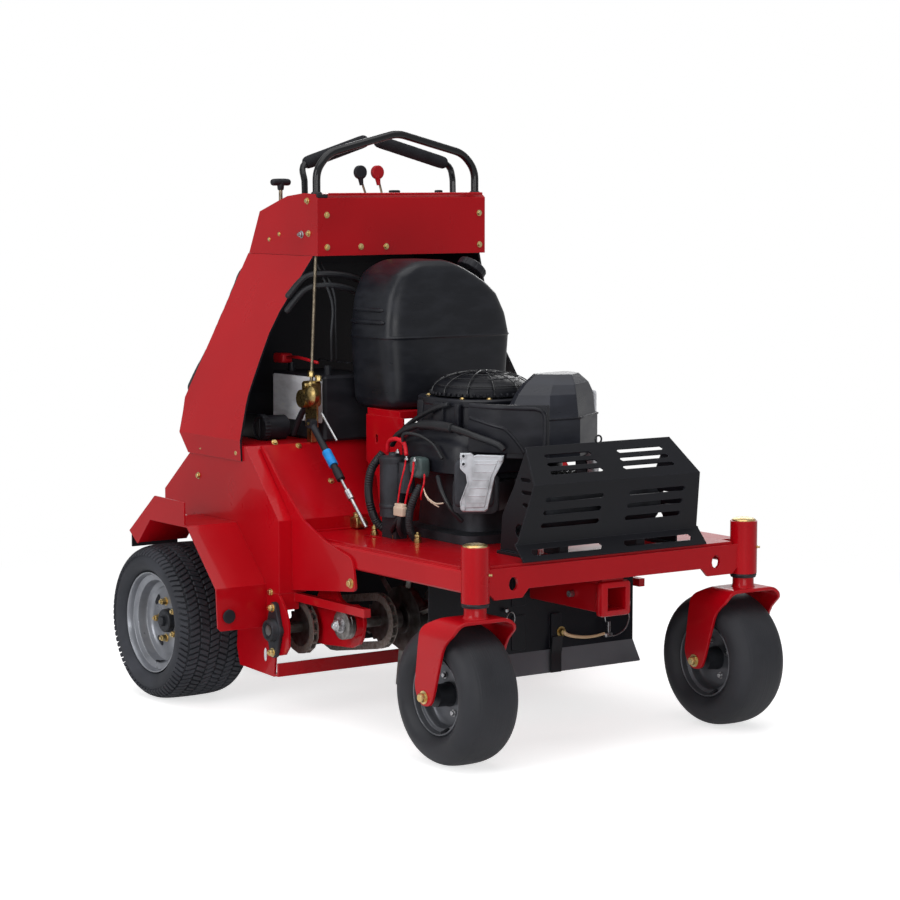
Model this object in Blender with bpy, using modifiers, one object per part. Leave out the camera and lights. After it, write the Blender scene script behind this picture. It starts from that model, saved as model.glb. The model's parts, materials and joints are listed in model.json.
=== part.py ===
"""Stand-on aerator: a ride-behind turf machine with a chain-driven coring drum.

Metres, +Z up.  The machine faces -Y, its own right-hand side is -X.  All places are measured in
the chassis frame, whose origin is on the ground below the line of the two caster stems; one empty
carries the whole machine and puts the origin of the scene at the middle of its footprint.
"""

import math

import bmesh
import bpy
from mathutils import Matrix, Vector

# Driving dimensions.
STEM_Y = -0.7660             # caster stems, from the middle of the footprint
FIT = 0.0003                 # gap that seated pieces keep
RUNNING = 0.0005             # radial play of turning pieces
SHEET = 0.005                # body sheet metal

CASTER_TRACK = 0.768
CASTER_TRAIL = 0.069
CASTER_TYRE_D = 0.316
CASTER_TYRE_W = 0.146
CASTER_RIM_D = 0.168
STEM_TUBE_R = 0.0315
STEM_TUBE_TOP = 0.490
STEM_TUBE_BOTTOM = 0.367
SPINDLE_R = 0.0155
STEM_BOSS_R = 0.0245
FORK_GAUGE = 0.008
FORK_CROWN = 0.334           # top of the fork's bridge
FORK_SIDE_GAP = 0.007
AXLE_R = 0.008

WHEEL_STEPS = 16             # facets round every tyre and rim
WHEELBASE = 1.098            # caster stem line to drive axle
DRIVE_TYRE_D = 0.383
DRIVE_TYRE_W = 0.200
DRIVE_RIM_D = 0.243
DRIVE_TRACK = 0.986          # middle to middle of the drive tyres
DRIVE_DISC_X = 0.528         # outer face of the drive wheel's disc
MOTOR_FACE_X = 0.378         # outer face of the motor plates
LUG_CIRCLE_R = 0.048
LUG_COUNT = 5

BEAM_TOP = 0.4375
BEAM_BOTTOM = 0.3885
BEAM_OUTER_X = 0.413
BEAM_WIDTH = 0.045
DECK_BOTTOM = 0.437
DECK_TOP = 0.4435
FRONT_PLATE_Y = -0.012
FRONT_PLATE_GAUGE = 0.008
BODY_HALF = 0.455            # outer faces of the rear body
BODY_FRONT_Y = 0.695
BODY_TOP = 0.640
BODY_FLOOR = 0.445
BODY_REAR_Y = 1.243
CONSOLE_HALF = 0.250
CONSOLE_BOTTOM = 1.092
CONSOLE_FRONT_Y = 0.843
CONSOLE_TOP = 1.2435

COUNTER_Y, COUNTER_Z = 0.707, 0.216    # countershaft, and pivot of the lift arms
TINE_Y, TINE_Z = 0.505, 0.250          # tine shaft with the drum raised
SHAFT_R = 0.0125
ARM_X = 0.360
ARM_GAUGE = 0.008
CHAIN_X_OUTER = 0.385                  # plane of the first chain
CHAIN_X_INNER = 0.295                  # plane of the second chain
CHAIN_PITCH = 0.0254
CHAIN_PLATE = 0.0022
CHAIN_INNER_WIDTH = 0.0110
LINK_HALF = 0.0090
ROLLER_R = 0.0055
SPROCKET_TEETH = 14
SPROCKET_GAUGE = CHAIN_INNER_WIDTH - 2 * FIT
MOTOR_TEETH = 9
MOTOR_Y, MOTOR_Z = 0.960, 0.330
DRUM_HALF = 0.245
TINE_TIP_R = 0.166
TINE_WHEELS = 5
TINES_PER_WHEEL = 6
TINE_R = 0.0085

PIVOT_Y, PIVOT_Z = 0.942, 1.170        # cross shaft of the hand levers, inside the console
PIVOT_R = 0.006
BAR_R = 0.008
GRIP_R = 0.0125
REFERENCE_Y = 0.868                    # fixed bar in front of the hand levers
LEVER_X = CONSOLE_HALF - 0.028
BAR_X = CONSOLE_HALF - 0.014
SHOULDER_X = CONSOLE_HALF - 0.050
THROTTLE_X, CHOKE_X = -0.045, 0.004
PULL_X, PULL_Y, PULL_R = 0.025 - CONSOLE_HALF, 1.052, 0.0045

ENGINE_X, ENGINE_Y = -0.055, 0.430
ENGINE_FLOOR = 0.4525
BARREL_START = -0.118        # crankcase end of the cylinders, along their own frame
SCREEN_R = 0.124
SCREEN_Z = 0.776
GUARD_PROFILE = [(-0.010, 0.4455), (0.022, 0.4795), (-0.014, 0.6130), (0.060, 0.6890)]

TANK_FRONT_Y = 0.622
TANK_REAR_Y = 0.822
TANK_BOTTOM = 0.728
TANK_HALF = 0.184
CAP_PLACE = (0.138, 0.752, 1.050)
CAP_LEAN = 38                # degrees from upright, toward the machine's left

LINK_TOP = (-0.292, 0.806, 0.690)      # eye of the lift link
LINK_MOUTH = (-0.292, 0.676, 0.566)    # where the link's rod leaves its barrel
LINK_EYE_R = 0.0045
LINK_EYE_HALF = 0.009

PLATFORM_HINGE_Y, PLATFORM_HINGE_Z = 1.262, 0.170
PLATFORM_HALF = 0.215
PLATFORM_LENGTH = 0.345

# Scene set-up.
for old in list(bpy.data.objects):
    bpy.data.objects.remove(old, do_unlink=True)

PARTS = bpy.data.collections.new("stand_on_aerator")
CUTTERS = bpy.data.collections.new("cutters")
bpy.context.scene.collection.children.link(PARTS)
bpy.context.scene.collection.children.link(CUTTERS)


def material(name, colour, roughness, metallic=0.0):
    """One Principled material."""
    new = bpy.data.materials.new(name)
    new.use_nodes = True
    shader = new.node_tree.nodes["Principled BSDF"]
    shader.inputs["Base Color"].default_value = (*colour, 1.0)
    shader.inputs["Roughness"].default_value = roughness
    shader.inputs["Metallic"].default_value = metallic
    return new


RED = material("red_paint", (0.50, 0.006, 0.012), 0.28)
BLACK_PAINT = material("black_paint", (0.012, 0.012, 0.014), 0.35)
BLACK_PLASTIC = material("black_plastic", (0.018, 0.019, 0.022), 0.45)
RED_PLASTIC = material("red_plastic", (0.62, 0.01, 0.02), 0.30)
RUBBER = material("tyre_rubber", (0.020, 0.021, 0.023), 0.75)
FOAM = material("foam", (0.022, 0.022, 0.024), 0.90)
RIM_SILVER = material("rim_silver", (0.42, 0.43, 0.44), 0.35, 0.8)
STEEL = material("bare_steel", (0.40, 0.39, 0.37), 0.38, 1.0)
CHAIN_STEEL = material("chain_steel", (0.16, 0.13, 0.10), 0.50, 1.0)
CAST = material("cast_iron", (0.05, 0.05, 0.055), 0.60, 0.6)
ALUMINIUM = material("aluminium", (0.55, 0.56, 0.57), 0.40, 1.0)
GOLD_ZINC = material("gold_zinc", (0.62, 0.47, 0.20), 0.35, 1.0)


# Modelling helpers.
def empty(name, at, parent=None):
    """A joint or assembly frame."""
    new = bpy.data.objects.new(name, None)
    new.location = at
    new.parent = parent
    PARTS.objects.link(new)
    return new


CHASSIS = empty("chassis_frame", (0.0, STEM_Y, 0.0))


def add(name, mesh, surface, at=(0, 0, 0), turn=(0, 0, 0), parent=CHASSIS):
    """Link a mesh as a named piece, or as a hidden tool when it has no surface."""
    new = bpy.data.objects.new(name, mesh)
    new.location = at
    new.rotation_euler = [math.radians(angle) for angle in turn]
    new.parent = parent
    if surface is None:
        CUTTERS.objects.link(new)
        new.hide_render = True
        new.display_type = 'WIRE'
    else:
        PARTS.objects.link(new)
        mesh.materials.append(surface)
        mesh.shade_smooth()
        mesh.set_sharp_from_angle(angle=math.radians(35))
    return new


def mesh_from(bm, name):
    """Close a bmesh into mesh data with its faces turned outward."""
    bmesh.ops.recalc_face_normals(bm, faces=bm.faces)
    mesh = bpy.data.meshes.new(name)
    bm.to_mesh(mesh)
    bm.free()
    return mesh


def bevel(piece, width, segments=1, angle=40):
    """Round the sharp edges of a piece."""
    edge = piece.modifiers.new("edge", 'BEVEL')
    edge.width = width
    edge.segments = segments
    edge.limit_method = 'ANGLE'
    edge.angle_limit = math.radians(angle)
    return piece


def boolean(piece, tools, operation):
    """Chain one Boolean per tool."""
    for tool in tools:
        step = piece.modifiers.new(tool.name, 'BOOLEAN')
        step.operation = operation
        step.object = tool
    return piece


def cut(piece, *tools):
    """Take the tools out of the piece."""
    return boolean(piece, tools, 'DIFFERENCE')


def join(piece, *tools):
    """Weld the tools to the piece."""
    return boolean(piece, tools, 'UNION')


def box(name, low, high, surface=None, parent=CHASSIS):
    """A block between two corners; its origin is its middle."""
    size = [b - a for a, b in zip(low, high)]
    middle = [(a + b) / 2 for a, b in zip(low, high)]
    bm = bmesh.new()
    bmesh.ops.create_cube(bm, size=1.0)
    bmesh.ops.scale(bm, vec=size, verts=bm.verts)
    return add(name, mesh_from(bm, name), surface, middle, parent=parent)


TURN_TO = {"X": Matrix.Rotation(math.radians(90), 4, 'Y'),
           "Y": Matrix.Rotation(math.radians(90), 4, 'X'),
           "Z": Matrix.Identity(4)}


def cylinder(name, radius, length, middle, axis, surface=None, sides=24, tip=None,
             parent=CHASSIS):
    """A round bar about a main axis, tapered when its far radius is given."""
    bm = bmesh.new()
    bmesh.ops.create_cone(bm, cap_ends=True, segments=sides, radius1=radius,
                          radius2=radius if tip is None else tip, depth=length,
                          matrix=TURN_TO[axis])
    return add(name, mesh_from(bm, name), surface, middle, parent=parent)


def bar(name, start, end, radius, surface=None, sides=12, parent=CHASSIS):
    """A round bar between two points; its origin is its middle."""
    start, end = Vector(start), Vector(end)
    aim = (end - start).to_track_quat('Z', 'Y').to_matrix().to_4x4()
    bm = bmesh.new()
    bmesh.ops.create_cone(bm, cap_ends=True, segments=sides, radius1=radius, radius2=radius,
                          depth=(end - start).length, matrix=aim)
    return add(name, mesh_from(bm, name), surface, (start + end) / 2, parent=parent)


def rounded(points, radius, steps=4, closed=True):
    """Replace each corner by an arc; the radius is one number or one for each corner."""
    points = [Vector(p) for p in points]
    count = len(points)
    radii = [radius] * count if isinstance(radius, (int, float)) else list(radius)
    path = []
    for i, corner in enumerate(points):
        ends = not closed and i in (0, count - 1)
        if ends or radii[i] == 0:
            path.append(corner)
            continue
        to_last = points[i - 1] - corner
        to_next = points[(i + 1) % count] - corner
        half = to_last.angle(to_next) / 2
        reach = min(radii[i] / math.tan(half), 0.49 * to_last.length, 0.49 * to_next.length)
        curve_r = reach * math.tan(half)
        middle = corner + (to_last.normalized() + to_next.normalized()).normalized() \
            * (curve_r / math.sin(half))
        first = (corner + to_last.normalized() * reach - middle).normalized()
        last = (corner + to_next.normalized() * reach - middle).normalized()
        for step in range(steps + 1):
            path.append(middle + first.slerp(last, step / steps) * curve_r)
    return path


def circle(centre, radius, sides=16):
    """Points round a hole."""
    return [(centre[0] + radius * math.cos(2 * math.pi * i / sides),
             centre[1] + radius * math.sin(2 * math.pi * i / sides)) for i in range(sides)]


def slot(centre, length, width, steps=2):
    """Points round a slot with round ends, long in its first direction."""
    x, y = centre
    half, r = length / 2, width / 2 * 0.999
    corners = [(x - half, y - width / 2), (x + half, y - width / 2),
               (x + half, y + width / 2), (x - half, y + width / 2)]
    return rounded([Vector((*c, 0)) for c in corners], r, steps)


def curve_mesh(curve, name):
    """Turn a curve into welded mesh data and remove it."""
    carrier = bpy.data.objects.new(name, curve)
    CUTTERS.objects.link(carrier)
    graph = bpy.context.evaluated_depsgraph_get()
    mesh = bpy.data.meshes.new_from_object(carrier.evaluated_get(graph))
    bpy.data.objects.remove(carrier, do_unlink=True)
    bpy.data.curves.remove(curve)
    bm = bmesh.new()
    bm.from_mesh(mesh)
    bpy.data.meshes.remove(mesh)
    bmesh.ops.remove_doubles(bm, verts=bm.verts, dist=1e-6)
    bmesh.ops.dissolve_degenerate(bm, dist=1e-6, edges=bm.edges)
    bmesh.ops.dissolve_limit(bm, angle_limit=math.radians(0.1), verts=bm.verts, edges=bm.edges)
    return mesh_from(bm, name)


FACE_TURN = {"X": (90, 0, 90), "Y": (90, 0, 0), "Z": (0, 0, 0)}


def prism_mesh(name, rim, thickness):
    """A flat outline pushed to both sides of its plane."""
    bm = bmesh.new()
    low = [bm.verts.new((x, y, -thickness / 2)) for x, y in rim]
    high = [bm.verts.new((x, y, thickness / 2)) for x, y in rim]
    bm.faces.new(low)
    bm.faces.new(high)
    for i in range(len(rim)):
        j = (i + 1) % len(rim)
        bm.faces.new((low[i], low[j], high[j], high[i]))
    bmesh.ops.remove_doubles(bm, verts=bm.verts, dist=1e-6)
    return mesh_from(bm, name)


def plate(name, outlines, thickness, plane, at, surface=None, parent=CHASSIS):
    """Flat outlines given thickness: the first is the rim, the others are holes or more rims.

    Plane X takes (y, z) points, plane Y takes (x, z), plane Z takes (x, y); at is the middle
    of the thickness along that axis.
    """
    place = {"X": (at, 0, 0), "Y": (0, at, 0), "Z": (0, 0, at)}[plane]
    if len(outlines) == 1:
        rim = [(point[0], point[1]) for point in outlines[0]]
        return add(name, prism_mesh(name, rim, thickness), surface, place, FACE_TURN[plane],
                   parent)
    curve = bpy.data.curves.new(name, 'CURVE')
    curve.dimensions = '2D'
    curve.fill_mode = 'BOTH'
    curve.extrude = thickness / 2
    for outline in outlines:
        spline = curve.splines.new('POLY')
        spline.points.add(len(outline) - 1)
        for point, corner in zip(spline.points, outline):
            point.co = (corner[0], corner[1], 0.0, 1.0)
        spline.use_cyclic_u = True
    return add(name, curve_mesh(curve, name), surface, place, FACE_TURN[plane], parent)


def tube(name, points, radius, surface=None, resolution=3, parent=CHASSIS, origin=(0, 0, 0)):
    """A round bar bent along points, which are given from its origin."""
    curve = bpy.data.curves.new(name, 'CURVE')
    curve.dimensions = '3D'
    curve.bevel_depth = radius
    curve.bevel_resolution = resolution
    curve.use_fill_caps = True
    spline = curve.splines.new('POLY')
    spline.points.add(len(points) - 1)
    for point, place in zip(spline.points, points):
        point.co = (*(Vector(place) - Vector(origin)), 1.0)
    return add(name, curve_mesh(curve, name), surface, origin, parent=parent)


def turned(name, profile, middle, axis, surface=None, steps=32, loop=False, parent=CHASSIS):
    """Turn a profile of (radius, height) points, listed down its outer side."""
    bm = bmesh.new()
    ring = [bm.verts.new((r, 0.0, h)) for r, h in profile]
    for a, b in zip(ring, ring[1:]):
        bm.edges.new((a, b))
    if loop:
        bm.edges.new((ring[-1], ring[0]))
    mesh = bpy.data.meshes.new(name)
    bm.to_mesh(mesh)
    bm.free()
    turn = {"X": (0, 90, 0), "Y": (90, 0, 0), "Z": (0, 0, 0)}[axis]
    new = add(name, mesh, surface, middle, turn, parent)
    screw = new.modifiers.new("turn", 'SCREW')
    screw.steps = steps
    screw.render_steps = steps
    screw.use_merge_vertices = True
    screw.merge_threshold = 0.00001
    screw.use_smooth_shade = True
    return new


def loft(name, rings, surface=None, parent=CHASSIS):
    """Skin a stack of rings with the same number of points, and cap both ends."""
    bm = bmesh.new()
    layers = [[bm.verts.new(p) for p in ring] for ring in rings]
    count = len(layers[0])
    for low, high in zip(layers, layers[1:]):
        for i in range(count):
            j = (i + 1) % count
            bm.faces.new((low[i], low[j], high[j], high[i]))
    bm.faces.new(list(reversed(layers[0])))
    bm.faces.new(layers[-1])
    return add(name, mesh_from(bm, name), surface, parent=parent)


def rounded_ring(x0, x1, y0, y1, z, radius, steps=3):
    """A level rectangle with round corners."""
    corners = [Vector((x0, y0, z)), Vector((x1, y0, z)), Vector((x1, y1, z)), Vector((x0, y1, z))]
    return rounded(corners, radius, steps)


def level_ring(points, z):
    """Lift plan points to a level."""
    return [Vector((x, y, z)) for x, y in points]


def inset(points, wall):
    """Move every side of a counter-clockwise outline inward by a wall."""
    count = len(points)
    lines = []
    for i in range(count):
        a = Vector(points[i])
        b = Vector(points[(i + 1) % count])
        along = (b - a).normalized()
        inward = Vector((-along.y, along.x))
        lines.append((a + inward * wall, along))
    result = []
    for i in range(count):
        (p, u), (q, v) = lines[i - 1], lines[i]
        cross = u.x * v.y - u.y * v.x
        step = ((q.x - p.x) * v.y - (q.y - p.y) * v.x) / cross
        result.append(tuple(p + u * step))
    return result


def smooth_side(piece, angle=35):
    """Keep only the sharp edges sharp."""
    piece.data.shade_smooth()
    piece.data.set_sharp_from_angle(angle=math.radians(angle))
    return piece


# Main frame.
def build_main_frame():
    """Stem tubes, side beams, front plate with tie-down ears, and the rear rails."""
    stem_x = CASTER_TRACK / 2
    dome = 0.007
    bore_top = STEM_TUBE_TOP - 0.012
    tube_profile = [(0, STEM_TUBE_TOP + dome), (STEM_TUBE_R * 0.5, STEM_TUBE_TOP + dome * 0.8),
                    (STEM_TUBE_R - 0.003, STEM_TUBE_TOP), (STEM_TUBE_R, STEM_TUBE_TOP - 0.001),
                    (STEM_TUBE_R, STEM_TUBE_BOTTOM), (0, STEM_TUBE_BOTTOM)]
    beam_y = (0.0, BODY_FRONT_Y - FIT)
    frame = box("main_frame", (BEAM_OUTER_X - BEAM_WIDTH, beam_y[0], BEAM_BOTTOM),
                (BEAM_OUTER_X, beam_y[1], BEAM_TOP), RED)
    bevel(frame, 0.004)
    pieces = [box("beam_right", (-BEAM_OUTER_X, beam_y[0], BEAM_BOTTOM),
                  (-BEAM_OUTER_X + BEAM_WIDTH, beam_y[1], BEAM_TOP))]
    bevel(pieces[0], 0.004)
    cross_y = BODY_FRONT_Y - 0.045
    pieces.append(box("rear_cross", (-BEAM_OUTER_X + 0.01, cross_y, BEAM_BOTTOM + 0.001),
                      (BEAM_OUTER_X - 0.01, BODY_FRONT_Y - 0.003, BEAM_TOP - 0.001)))
    ear_in, ear_out, ear_bottom = 0.252, 0.352, 0.3695
    half = stem_x - 0.010
    rim = [(-half, BEAM_TOP), (-half, BEAM_BOTTOM), (-ear_out, ear_bottom + 0.012),
           (-ear_out + 0.012, ear_bottom), (-ear_in - 0.014, ear_bottom),
           (-ear_in + 0.004, BEAM_BOTTOM),
           (ear_in - 0.004, BEAM_BOTTOM), (ear_in + 0.014, ear_bottom),
           (ear_out - 0.012, ear_bottom), (ear_out, ear_bottom + 0.012), (half, BEAM_BOTTOM),
           (half, BEAM_TOP)]
    tie_x, tie_z = 0.290, 0.4005
    ties = []
    for side in (-1, 1):
        wide, tall = 0.0125, 0.0170
        ties.append([(side * tie_x + wide * math.cos(a), tie_z + tall * math.sin(a) * (
            1.0 if math.sin(a) > 0 else 0.85)) for a in
            [2 * math.pi * i / 10 for i in range(10)]])
    pieces.append(plate("front_plate", [rim] + ties, FRONT_PLATE_GAUGE, "Y",
                        FRONT_PLATE_Y + FRONT_PLATE_GAUGE / 2))
    for side in (-1, 1):
        stem = turned("stem_tube_%+d" % side, tube_profile, (side * stem_x, 0, 0), "Z", steps=16)
        pieces.append(stem)
    rail_out, rail_in, rail_end = 0.377, 0.338, BODY_REAR_Y - 0.02
    motor_low = DRIVE_TYRE_D / 2 - 0.075
    for side in (-1, 1):
        low_x, high_x = sorted((side * rail_in, side * rail_out))
        pieces.append(box("rail_%+d" % side, (low_x, BODY_FRONT_Y - 0.02, BEAM_BOTTOM + 0.002),
                          (high_x, rail_end, BEAM_TOP - 0.002)))
        mount = rounded([(WHEELBASE - 0.09, BEAM_BOTTOM + 0.006), (WHEELBASE - 0.065, motor_low),
                         (WHEELBASE + 0.065, motor_low), (WHEELBASE + 0.09, BEAM_BOTTOM + 0.006)],
                        (0, 0.03, 0.03, 0), 4)
        pieces.append(plate("motor_plate_%+d" % side, [mount], 0.010, "X",
                            side * (MOTOR_FACE_X - 0.005)))
    pieces.append(box("rear_beam", (-0.345, rail_end - 0.035, BEAM_BOTTOM + 0.003),
                      (0.345, rail_end - 0.002, BEAM_TOP - 0.003)))
    hanger_low = PLATFORM_HINGE_Z - 0.03
    for side in (-1, 1):
        hanger = rounded([(rail_end - 0.033, BEAM_BOTTOM + 0.008), (rail_end - 0.033, hanger_low),
                          (PLATFORM_HINGE_Y + 0.02, hanger_low),
                          (PLATFORM_HINGE_Y + 0.02, PLATFORM_HINGE_Z + 0.03),
                          (rail_end - 0.004, PLATFORM_HINGE_Z + 0.075),
                          (rail_end - 0.004, BEAM_BOTTOM + 0.008)], (0, 0.01, 0.015, 0.015, 0, 0), 3)
        pieces.append(plate("platform_hanger_%+d" % side, [hanger], 0.010, "X",
                            side * (PLATFORM_HALF + 0.012)))
    join(frame, deck_tool(), *pieces)
    for side in (-1, 1):
        depth = bore_top - STEM_TUBE_BOTTOM + 0.02
        bore = cylinder("stem_bore_%+d" % side, SPINDLE_R + RUNNING, depth,
                        (side * stem_x, 0, bore_top - depth / 2), "Z", sides=18)
        cut(frame, bore)
    return frame


def deck_tool():
    """Engine deck, welded on the beams."""
    half = BEAM_OUTER_X - 0.014
    notch = STEM_TUBE_R + 0.002
    stem_x = CASTER_TRACK / 2
    rim = [(-half, 0.035), (-stem_x + notch + 0.004, 0.035), (-stem_x + notch + 0.004, -0.002),
           (stem_x - notch - 0.004, -0.002), (stem_x - notch - 0.004, 0.035), (half, 0.035),
           (half, BODY_FRONT_Y - 0.004), (-half, BODY_FRONT_Y - 0.004)]
    gauge = DECK_TOP - DECK_BOTTOM
    deck = plate("deck_plate", [rim], gauge, "Z", DECK_TOP - gauge / 2)
    link_x = LINK_MOUTH[0]
    passage = box("link_passage", (link_x - 0.010, 0.520, DECK_BOTTOM - 0.02),
                  (link_x + 0.010, 0.568, DECK_TOP + 0.02))
    return cut(deck, passage)


def build_receiver():
    """Square hitch tube with its reinforcing collar, hung below the front plate."""
    outer, bore, middle_z = 0.066, 0.0515, 0.3415
    tube_end = 0.275
    hitch = box("receiver_hitch", (-outer / 2, -0.004, middle_z - outer / 2),
                (outer / 2, tube_end, middle_z + outer / 2), RED)
    bevel(hitch, 0.005, 2)
    collar = box("receiver_collar", (-0.043, -0.010, middle_z - 0.040),
                 (0.043, 0.016, middle_z + 0.040))
    bevel(collar, 0.009, 2)
    web = box("receiver_web", (-0.030, 0.004, middle_z + outer / 2 - 0.004),
              (0.030, 0.240, DECK_BOTTOM - FIT))
    join(hitch, collar, web)
    socket = box("receiver_bore", (-bore / 2, -0.05, middle_z - bore / 2),
                 (bore / 2, tube_end + 0.05, middle_z + bore / 2))
    pin = cylinder("receiver_pin_hole", 0.0085, 0.2, (0, 0.110, middle_z), "X", sides=16)
    cut(hitch, socket, pin)
    return middle_z


def build_hitch_pin(middle_z):
    """Bent pull pin with its ring, pushed through the hitch from the machine's left."""
    y = 0.110
    reach = 0.044
    origin = (0, y, middle_z)
    path = [(-reach, y, middle_z), (reach + 0.014, y, middle_z),
            (reach + 0.022, y, middle_z + 0.022)]
    pin = tube("hitch_pin", rounded(path, 0.008, 3, False), 0.0078, STEEL, 2, origin=origin)
    return pin


# Casters.
def fork_outline():
    """Side view of the fork: legs lean back from the stem to the axle."""
    axle_z = CASTER_TYRE_D / 2
    crown = FORK_CROWN
    return rounded([(-0.040, crown + 0.001), (-0.040, crown - 0.020), (-0.004, crown - 0.058),
                    (CASTER_TRAIL - 0.036, axle_z + 0.010), (CASTER_TRAIL - 0.020, axle_z - 0.020),
                    (CASTER_TRAIL + 0.014, axle_z - 0.014), (CASTER_TRAIL + 0.038, axle_z + 0.022),
                    (CASTER_TRAIL + 0.020, crown - 0.032), (0.046, crown + 0.001)],
                   (0, 0.02, 0.02, 0.02, 0.012, 0.02, 0.02, 0.02, 0), 1)


def build_caster(side, label):
    """Fork on a vertical spindle, its wheel on a fixed axle."""
    crown = FORK_CROWN
    stem = empty("caster_stem_" + label, (side * CASTER_TRACK / 2, 0, 0), CHASSIS)
    inner = CASTER_TYRE_W / 2 + FORK_SIDE_GAP
    outer = inner + FORK_GAUGE
    axle_z = CASTER_TYRE_D / 2
    foot = axle_z - 0.05
    shoulder_in, drop_in = 0.047, 0.036
    front = [(-outer, foot), (-inner, foot), (-inner, crown - FORK_GAUGE - drop_in),
             (-shoulder_in, crown - FORK_GAUGE), (shoulder_in, crown - FORK_GAUGE),
             (inner, crown - FORK_GAUGE - drop_in), (inner, foot), (outer, foot),
             (outer, crown - drop_in + 0.002), (shoulder_in + 0.006, crown),
             (-shoulder_in - 0.006, crown), (-outer, crown - drop_in + 0.002)]
    fork = plate("caster_fork_" + label, [front], 0.30, "Y", 0.0, RED, stem)
    shape = plate("fork_side_" + label, [fork_outline()], 0.30, "X", 0.0, parent=stem)
    boolean(fork, [shape], 'INTERSECT')
    spindle = turned("spindle_" + label,
                     [(0, STEM_TUBE_TOP - 0.014), (SPINDLE_R - 0.002, STEM_TUBE_TOP - 0.014),
                      (SPINDLE_R, STEM_TUBE_TOP - 0.016), (SPINDLE_R, STEM_TUBE_BOTTOM - 0.002),
                      (STEM_BOSS_R, STEM_TUBE_BOTTOM - 0.002), (STEM_BOSS_R, crown + 0.006),
                      (STEM_BOSS_R + 0.004, crown - 0.002), (0, crown - 0.002)],
                     (0, 0, 0), "Z", steps=14, parent=stem)
    axle = cylinder("axle_" + label, AXLE_R, 2 * outer + 0.016, (0, CASTER_TRAIL, axle_z), "X",
                    sides=12, parent=stem)
    heads = []
    for end in (-1, 1):
        heads.append(cylinder("axle_head_%s%+d" % (label, end), 0.0125, 0.008,
                              (end * (outer + 0.0035), CASTER_TRAIL, axle_z), "X", sides=6,
                              parent=stem))
    join(fork, spindle, axle, *heads)
    hub = empty("caster_hub_" + label, (0, CASTER_TRAIL, axle_z), stem)
    build_tyre("caster_tyre_" + label, CASTER_TYRE_D, CASTER_TYRE_W, CASTER_RIM_D, hub, 2)
    build_caster_rim("caster_rim_" + label, hub, inner)
    return fork


def build_tyre(name, outer_d, width, rim_d, hub, crown_steps):
    """Turned carcass: a flat tread, round shoulders and bulging walls down to the beads."""
    outer_r, bead_r = outer_d / 2, rim_d / 2 - 0.006
    half = width / 2
    bead_half = half * 0.72
    shoulder = 0.42 * (outer_r - bead_r)
    side = []
    for i in range(crown_steps + 1):
        angle = math.radians(90) * i / crown_steps
        side.append((outer_r - shoulder + shoulder * math.cos(angle),
                     half - shoulder + shoulder * math.sin(angle)))
    outer = side + [((outer_r + 2 * bead_r) / 3, half), (bead_r, bead_half + 0.004)]
    inner = [(bead_r, bead_half - 0.010), (outer_r - 0.018, half * 0.66)]
    ring = list(reversed(inner)) + list(reversed(outer))
    ring += [(r, -h) for r, h in outer + inner]
    return turned(name, ring, (0, 0, 0), "X", RUBBER, WHEEL_STEPS, True, hub)


def build_caster_rim(name, hub, inner):
    """Pressed rim with a stepped disc and a hub tube that runs on the axle."""
    seat_r = CASTER_RIM_D / 2 - 0.006 - FIT
    well_r = seat_r - 0.020
    bead_half = CASTER_TYRE_W / 2 * 0.72
    edge = bead_half - 0.010 - FIT
    hub_half = inner - 0.001
    wall = 0.004
    bore = AXLE_R + RUNNING
    hub_r = 0.021
    out = [(bore, hub_half), (hub_r, hub_half), (hub_r, 0.016), (well_r - wall, 0.010),
           (well_r - wall, edge - 0.012), (seat_r - wall, edge + 0.010)]
    rim = [(seat_r, edge + 0.010), (seat_r, edge - 0.006), (well_r, edge - 0.022),
           (well_r, -edge + 0.022), (seat_r, -edge + 0.006), (seat_r, -edge - 0.006)]
    back = [(well_r - wall, -edge + 0.012), (well_r - wall, 0.002), (hub_r, 0.006),
            (hub_r, -hub_half), (bore, -hub_half)]
    return turned(name, out + rim + back, (0, 0, 0), "X", RIM_SILVER, WHEEL_STEPS, True, hub)


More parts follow.
